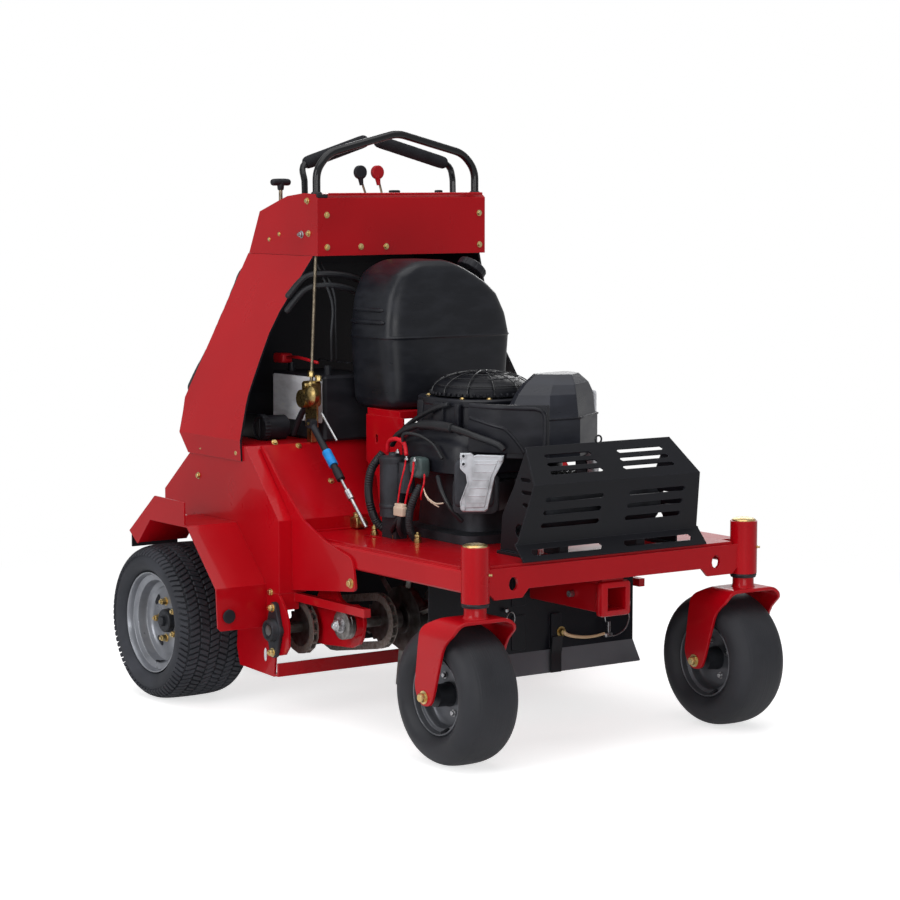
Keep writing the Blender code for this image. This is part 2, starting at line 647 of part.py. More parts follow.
# Drive wheels.
def build_drive_wheel(side, label):
    """Tyre on a deep stepped rim that bolts to the wheel motor's hub."""
    hub = empty("drive_hub_" + label, (side * DRIVE_TRACK / 2, WHEELBASE, DRIVE_TYRE_D / 2),
                CHASSIS)
    if side < 0:
        hub.rotation_euler = (0, 0, math.pi)
    build_tyre("drive_tyre_" + label, DRIVE_TYRE_D, DRIVE_TYRE_W, DRIVE_RIM_D, hub, 2)
    face = DRIVE_DISC_X - DRIVE_TRACK / 2
    seat_r = DRIVE_RIM_D / 2 - 0.006 - FIT
    bead_half = DRIVE_TYRE_W / 2 * 0.72
    edge = bead_half - 0.010 - FIT
    lip = bead_half + 0.004
    wall = 0.0045
    well_r = seat_r - 0.022
    profile = [(0, face + 0.018), (0.018, face + 0.018), (0.020, face), (0.064, face),
               (0.076, face + 0.008), (well_r - wall, face + 0.008),
               (well_r - wall, edge - 0.020), (seat_r - wall, edge), (seat_r - wall, lip + 0.004),
               (seat_r, lip + 0.004), (seat_r, edge), (well_r, edge - 0.020),
               (well_r, -edge + 0.022), (seat_r, -edge + 0.004), (seat_r, -lip),
               (seat_r - wall, -lip), (well_r - wall, -edge + 0.020), (well_r - wall, face),
               (0.060, face - wall - 0.003), (0, face - wall - 0.003)]
    rim = turned("drive_rim_" + label, profile, (0, 0, 0), "X", RIM_SILVER, WHEEL_STEPS, False, hub)
    for i in range(LUG_COUNT):
        angle = 2 * math.pi * i / LUG_COUNT
        nut = cylinder("lug_%s_%d" % (label, i), 0.0095, 0.016,
                       (face + 0.005, LUG_CIRCLE_R * math.cos(angle),
                        LUG_CIRCLE_R * math.sin(angle)), "X", sides=6, parent=hub)
        join(rim, nut)
    motor_in = MOTOR_FACE_X + FIT
    nose = DRIVE_DISC_X - wall - 0.003 - FIT
    motor = cylinder("wheel_motor_" + label, 0.052, 0.075,
                     (side * (motor_in + 0.0375), WHEELBASE, DRIVE_TYRE_D / 2), "X", CAST, 20)
    neck = cylinder("motor_neck_" + label, 0.034, nose - motor_in - 0.07,
                    (side * (nose + motor_in + 0.07) / 2, WHEELBASE, DRIVE_TYRE_D / 2), "X",
                    sides=20)
    join(motor, neck)
    return rim, motor


# Rear body and tower.
def body_side():
    """Side outline of the rear body, counter-clockwise in (y, z)."""
    return [(BODY_FRONT_Y, 0.302), (BODY_FRONT_Y + 0.070, 0.302), (BODY_FRONT_Y + 0.070, 0.326),
            (BODY_FRONT_Y + 0.189, BODY_FLOOR), (BODY_REAR_Y, BODY_FLOOR), (BODY_REAR_Y, 0.502),
            (1.114, 0.604), (1.100, BODY_TOP), (0.8456, BODY_TOP), (BODY_FRONT_Y, 0.476)]


def build_body():
    """Folded body: two side faces, a sloped front wall, a top and a rear slope, open below."""
    outline = body_side()
    body = plate("body_shell", [outline], 2 * BODY_HALF, "X", 0.0, RED)
    room = inset(outline, SHEET)
    low = 0.27
    room = [(room[0][0], low), (BODY_REAR_Y - SHEET, low)] + room[5:]
    hollow = plate("body_room", [room], 2 * (BODY_HALF - SHEET), "X", 0.0)
    cut(body, hollow)
    between = 0.380
    passage = box("body_passage", (-between, BODY_FRONT_Y - 0.05, 0.25),
                  (between, BODY_FRONT_Y + 0.05, DECK_TOP + FIT))
    cut(body, passage)
    return body


def tower_levels():
    """Height, half width, front edge and rear edge of the tower, from the console down."""
    top_z, knee_z, fold_z = CONSOLE_BOTTOM - 0.0027, 0.733, 0.652
    out_x = BODY_HALF + FIT
    top_rear, knee_rear = 1.165, 1.191
    edges = [(top_z, 0.865, top_rear), (0.954, 0.916, None), (0.902, 0.924, None),
             (0.843, 0.919, None), (0.760, 0.909, None), (knee_z, 0.900, knee_rear),
             (0.699, 0.885, 1.172), (fold_z, 0.863, 1.143)]
    levels = []
    for z, front, rear in edges:
        share = (top_z - z) / (top_z - fold_z)
        if rear is None:
            rear = top_rear + (top_z - z) / (top_z - knee_z) * (knee_rear - top_rear)
        levels.append((z, CONSOLE_HALF - SHEET + share * (out_x - CONSOLE_HALF + SHEET), front,
                       rear))
    levels.append((0.604, out_x, 0.859, 1.114))
    return levels


def build_tower():
    """Bent tower sheet: two flared side panels and the rear wall between them."""
    levels = tower_levels()
    bm = bmesh.new()
    rows = []
    for z, half, front, rear in levels:
        rows.append([bm.verts.new(p) for p in ((-half, front, z), (-half, rear, z),
                                               (half, rear, z), (half, front, z))])
    last = len(rows) - 2
    for i, (a, b) in enumerate(zip(rows, rows[1:])):
        bm.faces.new((a[0], b[0], b[1], a[1]))
        bm.faces.new((a[2], b[2], b[3], a[3]))
        if i < last:
            bm.faces.new((a[1], b[1], b[2], a[2]))
    mesh = bpy.data.meshes.new("tower")
    bmesh.ops.recalc_face_normals(bm, faces=bm.faces)
    bm.to_mesh(mesh)
    bm.free()
    tower = add("tower", mesh, RED)
    skin = tower.modifiers.new("sheet", 'SOLIDIFY')
    skin.thickness = SHEET
    skin.offset = 1.0
    skin.use_even_offset = True
    return tower


def build_console():
    """Console box on the tower, open below, with the fixed reference bar welded to it."""
    outline = [(CONSOLE_FRONT_Y, CONSOLE_BOTTOM), (1.165, CONSOLE_BOTTOM), (1.112, 1.197),
               (1.023, 1.224), (0.980, 1.236), (0.905, CONSOLE_TOP), (0.858, CONSOLE_TOP - 0.002),
               (CONSOLE_FRONT_Y, CONSOLE_TOP - 0.012)]
    console = plate("console", [outline], 2 * CONSOLE_HALF, "X", 0.0, RED)
    room = inset(outline, SHEET)
    room = [(room[0][0], CONSOLE_BOTTOM - 0.05), (room[1][0], CONSOLE_BOTTOM - 0.05)] + room[1:]
    cut(console, plate("console_room", [room], 2 * (CONSOLE_HALF - SHEET), "X", 0.0))
    shaft = cylinder("lever_shaft", PIVOT_R, 2 * CONSOLE_HALF - SHEET, (0, PIVOT_Y, PIVOT_Z), "X",
                     sides=12)
    legs = [(-BAR_X, REFERENCE_Y, CONSOLE_TOP - 0.02), (-BAR_X, REFERENCE_Y, 1.300),
            (-SHOULDER_X, REFERENCE_Y, 1.341), (0, REFERENCE_Y, 1.390),
            (SHOULDER_X, REFERENCE_Y, 1.341), (BAR_X, REFERENCE_Y, 1.300),
            (BAR_X, REFERENCE_Y, CONSOLE_TOP - 0.02)]
    rail = tube("reference_rail", rounded(legs, 0.045, 3, False), BAR_R, resolution=2)
    slots = []
    for x, length, shift in ((-LEVER_X, 0.078, 0), (LEVER_X, 0.078, 0),
                             (THROTTLE_X, 0.075, 0), (CHOKE_X, 0.075, 0)):
        wide = 0.026 if abs(x) > 0.1 else 0.014
        slots.append(box("lever_slot_%+.3f" % x, (x - wide / 2, PIVOT_Y - length / 2 + shift, 1.22),
                         (x + wide / 2, PIVOT_Y + length / 2 + shift, 1.28)))
    hole = cylinder("pull_hole", PULL_R + RUNNING, 0.1, (PULL_X, PULL_Y, 1.21), "Z", sides=16)
    cut(console, *slots, hole)
    join(console, shaft, rail)
    return console


def ring_profile(inner_r, outer_r, half):
    """Closed profile of a plain bush."""
    return [(inner_r, half), (outer_r, half), (outer_r, -half), (inner_r, -half)]


def build_drive_lever(side, label):
    """Bent hand lever with a foam sleeve, turning on the console's cross shaft."""
    pivot = empty("drive_lever_pivot_" + label, (side * LEVER_X, PIVOT_Y, PIVOT_Z), CHASSIS)
    boss = turned("drive_lever_" + label, ring_profile(PIVOT_R + RUNNING, 0.013, 0.011),
                  (0, 0, 0), "X", BLACK_PAINT, 16, True, pivot)
    rise = [(0, 0, 0.0095), (0, 0.003, 0.105), (side * 0.002, 0.016, 0.142),
            (side * (0.013 - LEVER_X), 0.043, 0.204)]
    path = rounded(rise, 0.030, 4, False)
    bar_piece = tube("lever_bar_" + label, path, BAR_R, resolution=2, parent=pivot)
    join(boss, bar_piece)
    low, high = Vector(rise[2]), Vector(rise[3])
    along = (high - low).normalized()
    first = low + along * 0.030
    span = (high - along * 0.001) - first
    sleeve = turned("grip_" + label, ring_profile(BAR_R + FIT, GRIP_R, span.length / 2),
                    first + span / 2, "Z", FOAM, 16, True, pivot)
    sleeve.rotation_euler = along.to_track_quat('Z', 'Y').to_euler()
    return boss


def build_small_lever(name, x, knob_material, lean):
    """Flat-knobbed engine control on the cross shaft."""
    pivot = empty(name + "_pivot", (x, PIVOT_Y, PIVOT_Z), CHASSIS)
    lever = turned(name, ring_profile(PIVOT_R + RUNNING, 0.011, 0.005), (0, 0, 0), "X",
                   knob_material, 14, True, pivot)
    top = Vector((lean, 0.006, 0.118))
    stem = tube(name + "_stem", [(0, 0, 0.0085), (0, 0, 0.070), tuple(top)], 0.0032,
                resolution=1, parent=pivot)
    knob = cylinder(name + "_knob", 0.0152, 0.012, top + Vector((0, 0, 0.006)), "Y", sides=16,
                    parent=pivot)
    bevel(knob, 0.003)
    join(lever, stem, knob)
    return lever


def build_pull_handle():
    """T-handle on a rod that slides up through the console."""
    origin = empty("pull_frame", (PULL_X, PULL_Y, 1.215), CHASSIS)
    handle = cylinder("pull_handle", PULL_R, 0.110, (0, 0, -0.010), "Z", GOLD_ZINC, 16,
                      parent=origin)
    neck = cylinder("pull_neck", 0.0075, 0.020, (0, 0, 0.042), "Z", sides=16, tip=0.009,
                    parent=origin)
    grip = cylinder("pull_grip", 0.0085, 0.062, (0, 0, 0.055), "X", sides=16, parent=origin)
    bevel(grip, 0.003)
    join(handle, neck, grip)
    return handle


def build_pad():
    """Thigh cushion behind the tower, crowned and drawn in at its rim."""
    levels = tower_levels()
    columns = 8
    lift = SHEET * 1.003 + 4 * FIT
    heights = [1.108, 1.06, 1.00, 0.93, 0.86, 0.80, 0.75, 0.722]
    thick = [0.040, 0.054, 0.060, 0.062, 0.062, 0.060, 0.054, 0.036]
    bm = bmesh.new()
    grid_front, grid_back = [], []
    top_z, low_z = levels[0][0], levels[5][0]
    for z, depth in zip(heights, thick):
        share = (top_z - z) / (top_z - low_z)
        rear = levels[0][3] + share * (levels[5][3] - levels[0][3])
        half = CONSOLE_HALF + 0.004 + share * (levels[5][1] - CONSOLE_HALF)
        if z > 1.10 or z < 0.73:
            half -= 0.020
        front_row, back_row = [], []
        for i in range(columns + 1):
            u = 2 * i / columns - 1
            crown = 1 - 0.35 * abs(u) ** 4
            front_row.append(bm.verts.new((u * half, rear + lift, z)))
            back_row.append(bm.verts.new((u * half * 0.985, rear + lift + depth * crown, z)))
        grid_front.append(front_row)
        grid_back.append(back_row)
    rows = len(heights)
    for i in range(rows - 1):
        for j in range(columns):
            bm.faces.new((grid_front[i][j], grid_front[i][j + 1],
                          grid_front[i + 1][j + 1], grid_front[i + 1][j]))
            bm.faces.new((grid_back[i][j], grid_back[i + 1][j],
                          grid_back[i + 1][j + 1], grid_back[i][j + 1]))
    for j in range(columns):
        bm.faces.new((grid_front[0][j], grid_back[0][j], grid_back[0][j + 1],
                      grid_front[0][j + 1]))
        bm.faces.new((grid_front[-1][j], grid_front[-1][j + 1], grid_back[-1][j + 1],
                      grid_back[-1][j]))
    for i in range(rows - 1):
        bm.faces.new((grid_front[i][0], grid_front[i + 1][0], grid_back[i + 1][0],
                      grid_back[i][0]))
        bm.faces.new((grid_front[i][-1], grid_back[i][-1], grid_back[i + 1][-1],
                      grid_front[i + 1][-1]))
    return add("thigh_pad", mesh_from(bm, "thigh_pad"), FOAM)


# Side sheet metal.
def build_gusset(side, label):
    """Bolted side plate from the beam up the sloped front wall."""
    gauge = 0.006
    gap = FIT * 1.5
    outline = [(BODY_FRONT_Y - gap, 0.309), (BODY_FRONT_Y - gap, 0.4763),
               (0.8400, 0.6390), (0.8300, 0.6420), (0.740, 0.555), (0.645, 0.481),
               (0.560, 0.446), (0.500, 0.430), (0.433, 0.416), (0.420, 0.340)]
    curve = rounded([Vector((*p, 0)) for p in outline],
                    (0, 0, 0.003, 0.003, 0.10, 0.10, 0.10, 0.05, 0.03, 0.012), 3)
    return plate("gusset_" + label, [list(reversed(curve))], gauge, "X",
                 side * (BEAM_OUTER_X + FIT + gauge / 2), RED)


def build_tine_housing():
    """Lower side plates, bottom sill, front webs and the countershaft's flange bearings."""
    gauge = 0.006
    top = 0.302 - FIT
    outline = [(0.722, 0.100), (0.880, 0.106), (0.893, 0.150), (0.880, top),
               (BODY_FRONT_Y + 0.004, top), (0.668, 0.268), (0.655, 0.235), (0.655, 0.180),
               (0.672, 0.160), (0.716, 0.150)]
    skins = []
    for side in (-1, 1):
        skins.append(plate("lower_side_%+d" % side, [outline], gauge, "X",
                           side * (BODY_HALF - gauge / 2), RED if side < 0 else None))
    housing = skins[0]
    housing.name = "tine_housing"
    pieces = [skins[1]]
    sill_y, sill_z, leg, thick = 0.704, 0.102, 0.032, 0.005
    pieces.append(box("sill_wall", (-BODY_HALF + 0.001, sill_y, sill_z),
                      (BODY_HALF - 0.001, sill_y + thick, sill_z + leg)))
    pieces.append(box("sill_foot", (-BODY_HALF + 0.001, sill_y + 0.001, sill_z),
                      (BODY_HALF - 0.001, sill_y + leg, sill_z + thick)))
    for side in (-1, 1):
        web_in, web_out = sorted((side * (ARM_X + 0.040), side * (BODY_HALF - 0.002)))
        pieces.append(box("post_web_%+d" % side, (web_in, BODY_FRONT_Y + 0.001, 0.262),
                          (web_out, BODY_FRONT_Y + 0.007, top)))
        rail_in, rail_out = sorted((side * 0.3945, side * 0.412))
        pieces.append(box("stop_rail_%+d" % side, (rail_in, 0.395, 0.282),
                          (rail_out, BODY_FRONT_Y + 0.004, top)))
    join(housing, *pieces)
    cut(housing, cylinder("bearing_opening", 0.024, 1.2, (0, COUNTER_Y, COUNTER_Z), "X",
                          sides=16))
    return housing


def build_bearing(side, label):
    """Flange bearing bolted outside the lower side plate; the shaft turns in its bore."""
    seat = empty("bearing_seat_" + label, (side * BODY_HALF, COUNTER_Y, COUNTER_Z), CHASSIS)
    if side < 0:
        seat.rotation_euler = (0, 0, math.pi)
    half, gauge = 0.036, 0.012
    rim = rounded([(-half, -half), (half, -half), (half, half), (-half, half)], 0.014, 2)
    flange = plate("bearing_" + label, [rim], gauge, "X", FIT + gauge / 2, CAST, seat)
    hub = cylinder("bearing_hub_" + label, 0.025, 0.026, (FIT + 0.013, 0, 0), "X", sides=16,
                   parent=seat)
    spigot = cylinder("bearing_spigot_" + label, 0.0225, 0.012, (-0.0045, 0, 0), "X", sides=16,
                      parent=seat)
    join(flange, hub, spigot)
    cut(flange, cylinder("bearing_bore_" + label, SHAFT_R + RUNNING, 0.1, (0, 0, 0), "X",
                         sides=16, parent=seat))
    heads = []
    for y in (-1, 1):
        for z in (-1, 1):
            heads.append(cylinder("bearing_bolt_%s%+d%+d" % (label, y, z), 0.0065, 0.008,
                                  (FIT + gauge + 0.0035, y * 0.027, z * 0.027), "X", sides=6,
                                  parent=seat))
    join(flange, *heads)
    return flange


def build_fender(side, label):
    """Wheel cover bent from one sheet, with an upright flange along its top and rear edge."""
    inner_x, outer_x = BODY_HALF + FIT, 0.592
    gauge = 0.004
    profile = [(1.136, 0.388), (1.074, 0.4515), (0.891, 0.4515), (0.757, 0.318), (0.750, 0.218)]
    curve = bpy.data.curves.new("fender", 'CURVE')
    curve.dimensions = '2D'
    curve.extrude = (outer_x - inner_x) / 2
    spline = curve.splines.new('POLY')
    spline.points.add(len(profile) - 1)
    for point, place in zip(spline.points, profile):
        point.co = (*place, 0.0, 1.0)
    fender = add("fender_" + label, curve_mesh(curve, "fender"), RED,
                 (side * (inner_x + outer_x) / 2, 0, 0), FACE_TURN["X"])
    sheet = fender.modifiers.new("sheet", 'SOLIDIFY')
    sheet.thickness = gauge
    sheet.offset = 0.0
    sheet.use_even_offset = True
    skirt = plate("fender_skirt_" + label,
                  [[(1.139, 0.384), (1.180, 0.412), (1.050, 0.511), (0.905, 0.509),
                    (0.904, 0.4510), (1.0735, 0.4510)]], gauge, "X",
                  side * (outer_x - gauge / 2 - 0.0002))
    join(fender, skirt)
    corner = plate("fender_corner_" + label,
                   [[(side * (outer_x - 0.026), 0.200), (side * (outer_x + 0.02), 0.200),
                     (side * (outer_x + 0.02), 0.246)]], 0.1, "Y", 0.745)
    plug = cylinder("fender_plug_" + label, 0.013, 0.05, (side * 0.562, 0.750, 0.252), "Y",
                    sides=20)
    cut(fender, corner, plug)
    return fender


# Coring gear.
def sprocket_outline(teeth, y, z, tip_r, root_r, start=0.0):
    """Rounded teeth on a pitch circle."""
    points = []
    for i in range(teeth):
        base = start + 2 * math.pi * i / teeth
        for share, radius in ((-0.14, root_r), (0.14, root_r), (0.42, tip_r), (0.58, tip_r)):
            angle = base + share * 2 * math.pi / teeth
            points.append((y + radius * math.cos(angle), z + radius * math.sin(angle)))
    return points


def pitch_radius(teeth):
    """Radius of the circle through the chain's pins."""
    return CHAIN_PITCH / 2 / math.sin(math.pi / teeth)


def sprocket(name, teeth, x, y, z, parent, surface=None):
    """Toothed disc; its tips stay just inside the chain's rollers so that it can turn."""
    pitch_r = pitch_radius(teeth)
    tip_r = pitch_r - ROLLER_R - RUNNING
    return plate(name, [sprocket_outline(teeth, y, z, tip_r, tip_r - 0.0065)], SPROCKET_GAUGE,
                 "X", x, surface, parent)


def chain_path(y1, z1, r1, y2, z2, r2):
    """Pin places round two sprockets: equal steps along the two arcs and two tangents."""
    span = math.hypot(y2 - y1, z2 - z1)
    heading = math.atan2(z2 - z1, y2 - y1)
    lean = math.acos((r1 - r2) / span)
    straight = math.sqrt(span ** 2 - (r1 - r2) ** 2)
    arc1 = (2 * math.pi - 2 * lean) * r1
    arc2 = 2 * lean * r2
    total = arc1 + arc2 + 2 * straight
    links = int(round(total / CHAIN_PITCH / 2)) * 2
    places = []
    for i in range(links):
        s = total * i / links
        if s < arc1:
            angle = heading + lean + s / r1
            places.append((y1 + r1 * math.cos(angle), z1 + r1 * math.sin(angle)))
            continue
        s -= arc1
        if s < straight:
            angle = heading - lean
            share = s / straight
            a = (y1 + r1 * math.cos(angle), z1 + r1 * math.sin(angle))
            b = (y2 + r2 * math.cos(angle), z2 + r2 * math.sin(angle))
            places.append((a[0] + share * (b[0] - a[0]), a[1] + share * (b[1] - a[1])))
            continue
        s -= straight
        if s < arc2:
            angle = heading - lean + s / r2
            places.append((y2 + r2 * math.cos(angle), z2 + r2 * math.sin(angle)))
            continue
        s -= arc2
        share = s / straight
        angle = heading + lean
        a = (y2 + r2 * math.cos(angle), z2 + r2 * math.sin(angle))
        b = (y1 + r1 * math.cos(angle), z1 + r1 * math.sin(angle))
        places.append((a[0] + share * (b[0] - a[0]), a[1] + share * (b[1] - a[1])))
    return places


def build_chain(name, x, y1, z1, teeth1, y2, z2, teeth2, parent=CHASSIS):
    """Roller chain: scalloped side plates on both sides of a ring of rollers."""
    pins = chain_path(y1, z1, pitch_radius(teeth1), y2, z2, pitch_radius(teeth2))
    count = len(pins)
    spine = []
    for i in range(count):
        here, after = Vector(pins[i]), Vector(pins[(i + 1) % count])
        run = (after - here).normalized()
        spine.append(((here + after) / 2, Vector((run.y, -run.x)) * LINK_HALF))
    offset = CHAIN_INNER_WIDTH / 2
    sides = []
    for start in (x - offset - CHAIN_PLATE, x + offset):
        bm = bmesh.new()
        rings = []
        for place, reach in spine:
            ends = ((start, place + reach), (start + CHAIN_PLATE, place + reach),
                    (start + CHAIN_PLATE, place - reach), (start, place - reach))
            rings.append([bm.verts.new((level, point.x, point.y)) for level, point in ends])
        for i, ring in enumerate(rings):
            after = rings[(i + 1) % len(rings)]
            for j in range(4):
                k = (j + 1) % 4
                bm.faces.new((ring[j], ring[k], after[k], after[j]))
        sides.append(mesh_from(bm, name))
    chain = add(name, sides[0], CHAIN_STEEL, parent=parent)
    pieces = [add(name + "_side", sides[1], None, parent=parent)]
    bm = bmesh.new()
    for y, z in pins:
        place = Matrix.Translation((x, y, z)) @ TURN_TO["X"]
        bmesh.ops.create_cone(bm, cap_ends=True, segments=4, radius1=ROLLER_R, radius2=ROLLER_R,
                              depth=CHAIN_INNER_WIDTH + CHAIN_PLATE, matrix=place)
    pieces.append(add(name + "_rollers", mesh_from(bm, name), None, parent=parent))
    join(chain, *pieces)
    return chain


def build_countershaft():
    """Cross shaft with the first chain's sprocket and the second chain's two."""
    length = 2 * (BODY_HALF + 0.024)
    carrier = empty("counter_axis", (0, COUNTER_Y, COUNTER_Z), CHASSIS)
    shaft = cylinder("countershaft", SHAFT_R, length, (0, 0, 0), "X", STEEL, 16, parent=carrier)
    discs = [sprocket("counter_outer", SPROCKET_TEETH, -CHAIN_X_OUTER, 0, 0, carrier),
             sprocket("counter_inner", SPROCKET_TEETH, -CHAIN_X_INNER, 0, 0, carrier)]
    for x in (-CHAIN_X_OUTER + 0.0085, -CHAIN_X_INNER - 0.010):
        discs.append(cylinder("counter_collar_%.3f" % x, 0.024, 0.011, (x, 0, 0), "X", sides=14,
                              parent=carrier))
    join(shaft, *discs)
    return shaft, carrier


def build_tine_motor():
    """Hydraulic motor on the right rail and its small sprocket."""
    motor = cylinder("tine_motor", 0.042, 0.085, (-0.290, MOTOR_Y, MOTOR_Z), "X", CAST, 20)
    foot = box("motor_foot", (-0.338 + FIT, MOTOR_Y - 0.035, BEAM_BOTTOM + 0.006),
               (-0.262, MOTOR_Y + 0.035, BODY_FLOOR - 0.004))
    neck = box("motor_neck", (-0.325, MOTOR_Y - 0.033, MOTOR_Z),
               (-0.264, MOTOR_Y + 0.033, BEAM_BOTTOM + 0.010))
    join(motor, foot, neck)
    axis = empty("motor_axis", (0, MOTOR_Y, MOTOR_Z), CHASSIS)
    drive = sprocket("motor_sprocket", MOTOR_TEETH, -CHAIN_X_OUTER, 0, 0, axis, STEEL)
    shaft = cylinder("motor_shaft", 0.0120, 0.060, (-CHAIN_X_OUTER + 0.022, 0, 0), "X", sides=20,
                     parent=axis)
    join(drive, shaft)
    return motor, drive


def build_lift_frame():
    """Two arms on the countershaft, a cross tube, and the hubs of the tine shaft."""
    pivot = empty("lift_axis", (0, COUNTER_Y, COUNTER_Z), CHASSIS)
    dy, dz = TINE_Y - COUNTER_Y, TINE_Z - COUNTER_Z
    outline = rounded([Vector((y - COUNTER_Y, z - COUNTER_Z, 0)) for y, z in
                       [(0.738, 0.236), (0.700, 0.264), (0.664, 0.300), (0.645, 0.412),
                        (0.598, 0.412), (0.583, 0.302), (0.545, 0.288), (0.492, 0.296),
                        (0.466, 0.262), (0.482, 0.206), (0.520, 0.190), (0.649, 0.180),
                        (0.705, 0.184), (0.738, 0.200)]],
                      (0.02, 0.02, 0.03, 0.018, 0.018, 0.02, 0.02, 0.02, 0.02, 0.02, 0.02, 0.02,
                       0.02, 0.02), 1)
    frame = plate("lift_frame", [outline], ARM_GAUGE, "X", -ARM_X, RED, pivot)
    pieces = [plate("lift_arm_left", [outline], ARM_GAUGE, "X", ARM_X, parent=pivot)]
    tube_y, tube_z = 0.6215 - COUNTER_Y, 0.394 - COUNTER_Z
    pieces.append(cylinder("lift_tube", 0.0145, 2 * ARM_X, (0, tube_y, tube_z), "X", sides=14,
                           parent=pivot))
    for side in (-1, 1):
        hub = cylinder("tine_hub_%+d" % side, 0.034, 0.020,
                       (side * (ARM_X + ARM_GAUGE / 2 + 0.008), dy, dz), "X", sides=16,
                       parent=pivot)
        boss = cylinder("arm_boss_%+d" % side, 0.024, 0.018,
                        (side * (ARM_X - 0.010), 0, 0), "X", sides=14, parent=pivot)
        pieces += [hub, boss]
    join(frame, *pieces)
    for side in (-1, 1):
        bore = cylinder("tine_bore_%+d" % side, SHAFT_R + RUNNING, 0.08, (side * ARM_X, dy, dz),
                        "X", sides=16, parent=pivot)
        eye = cylinder("arm_eye_%+d" % side, SHAFT_R + RUNNING, 0.08, (side * ARM_X, 0, 0), "X",
                       sides=16, parent=pivot)
        cut(frame, bore, eye)
    return pivot, (dy, dz)


def build_tine_drum(pivot, place):
    """Drum of tine wheels with hollow-nosed coring tines, and the driven sprocket."""
    axis = empty("tine_axis", (0, *place), pivot)
    length = 2 * (ARM_X + 0.030)
    drum = cylinder("tine_drum", SHAFT_R, length, (0, 0, 0), "X", STEEL, 16, parent=axis)
    pieces = [cylinder("drum_tube", 0.036, 2 * DRUM_HALF - 0.012, (0, 0, 0), "X", sides=12,
                       parent=axis),
              sprocket("tine_sprocket", SPROCKET_TEETH, -CHAIN_X_INNER, 0, 0, axis),
              cylinder("sprocket_hub", 0.024, 0.046, (-CHAIN_X_INNER + 0.026, 0, 0), "X",
                       sides=20, parent=axis)]
    for side in (-1, 1):
        cap = cylinder("shaft_nut_%+d" % side, 0.017, 0.012,
                       (side * (ARM_X + 0.0285), 0, 0), "X", sides=6, parent=axis)
        pieces.append(cap)
    gap = (2 * DRUM_HALF - 0.04) / (TINE_WHEELS - 1)
    bm = bmesh.new()
    for wheel in range(TINE_WHEELS):
        x = -DRUM_HALF + 0.02 + wheel * gap
        for tine in range(TINES_PER_WHEEL):
            angle = 2 * math.pi * (tine + 0.5 * (wheel % 2)) / TINES_PER_WHEEL + 0.19
            root, tip = 0.062, TINE_TIP_R
            aim = Matrix.Rotation(angle, 4, 'X') @ Matrix.Translation((0, 0, (root + tip) / 2))
            place_at = Matrix.Translation((x, 0, 0)) @ aim
            bmesh.ops.create_cone(bm, cap_ends=True, segments=4, radius1=TINE_R,
                                  radius2=TINE_R * 0.72, depth=tip - root, matrix=place_at)
    pieces.append(add("tines", mesh_from(bm, "tines"), None, parent=axis))
    bm = bmesh.new()
    for wheel in range(TINE_WHEELS):
        x = -DRUM_HALF + 0.02 + wheel * gap
        place_at = Matrix.Translation((x, 0, 0)) @ TURN_TO["X"]
        bmesh.ops.create_cone(bm, cap_ends=True, segments=12, radius1=0.078, radius2=0.078,
                              depth=0.019, matrix=place_at)
    pieces.append(add("tine_wheels", mesh_from(bm, "tine_wheels"), None, parent=axis))
    join(drum, *pieces)
    return drum


# Engine and its covers.
def build_engine(cylinder_frames):
    """Vertical-shaft V-twin: crankcase with its two cylinder seats, blower housing and fan."""
    x, y, floor = ENGINE_X, ENGINE_Y, ENGINE_FLOOR
    rings = [rounded_ring(x - 0.150, x + 0.150, y - 0.150, y + 0.160, floor - 0.0085, 0.04),
             rounded_ring(x - 0.150, x + 0.150, y - 0.150, y + 0.160, floor + 0.012, 0.04),
             rounded_ring(x - 0.112, x + 0.112, y - 0.120, y + 0.130, floor + 0.016, 0.04),
             rounded_ring(x - 0.105, x + 0.105, y - 0.110, y + 0.125, 0.600, 0.04)]
    block = loft("engine_block", rings, CAST)
    for frame in cylinder_frames:
        join(block, box("cylinder_seat", (-0.036, BARREL_START + FIT, 0.012), (0.036, 0.0, 0.076),
                        parent=frame))
    low, top = 0.600 + FIT, SCREEN_Z - 0.0025
    plan_low = rounded([(x - 0.165, y - 0.140), (x + 0.165, y - 0.140), (x + 0.165, y + 0.150),
                        (x - 0.165, y + 0.150)], 0.055, 3)
    plan_top = rounded([(x - 0.148, y - 0.125), (x + 0.135, y - 0.125), (x + 0.135, y + 0.140),
                        (x - 0.148, y + 0.140)], 0.075, 3)
    shroud = loft("blower_housing", [level_ring(plan_low, low), level_ring(plan_low, low + 0.060),
                                     level_ring(plan_top, low + 0.120), level_ring(plan_top, top)],
                  BLACK_PLASTIC)
    well = cylinder("fan_well", SCREEN_R - 0.008, 0.2, (x, y, top + 0.100 - 0.062), "Z", sides=32)
    cut(shroud, well)
    hub_z = top - 0.062 + FIT
    blades = []
    for i in range(12):
        base = 2 * math.pi * i / 12
        for share, radius in ((0.0, 0.045), (0.10, 0.100), (0.42, 0.100), (0.52, 0.045)):
            angle = base + share * 2 * math.pi / 12
            blades.append((radius * math.cos(angle), radius * math.sin(angle)))
    crank = empty("crank_axis", (x, y, 0.0), CHASSIS)
    fan = plate("engine_fan", [blades], 0.034, "Z", hub_z + 0.019, BLACK_PLASTIC, crank)
    join(fan, cylinder("fan_hub", 0.040, 0.046, (0, 0, hub_z + 0.0235), "Z", sides=20,
                       parent=crank))
    return block, shroud, fan


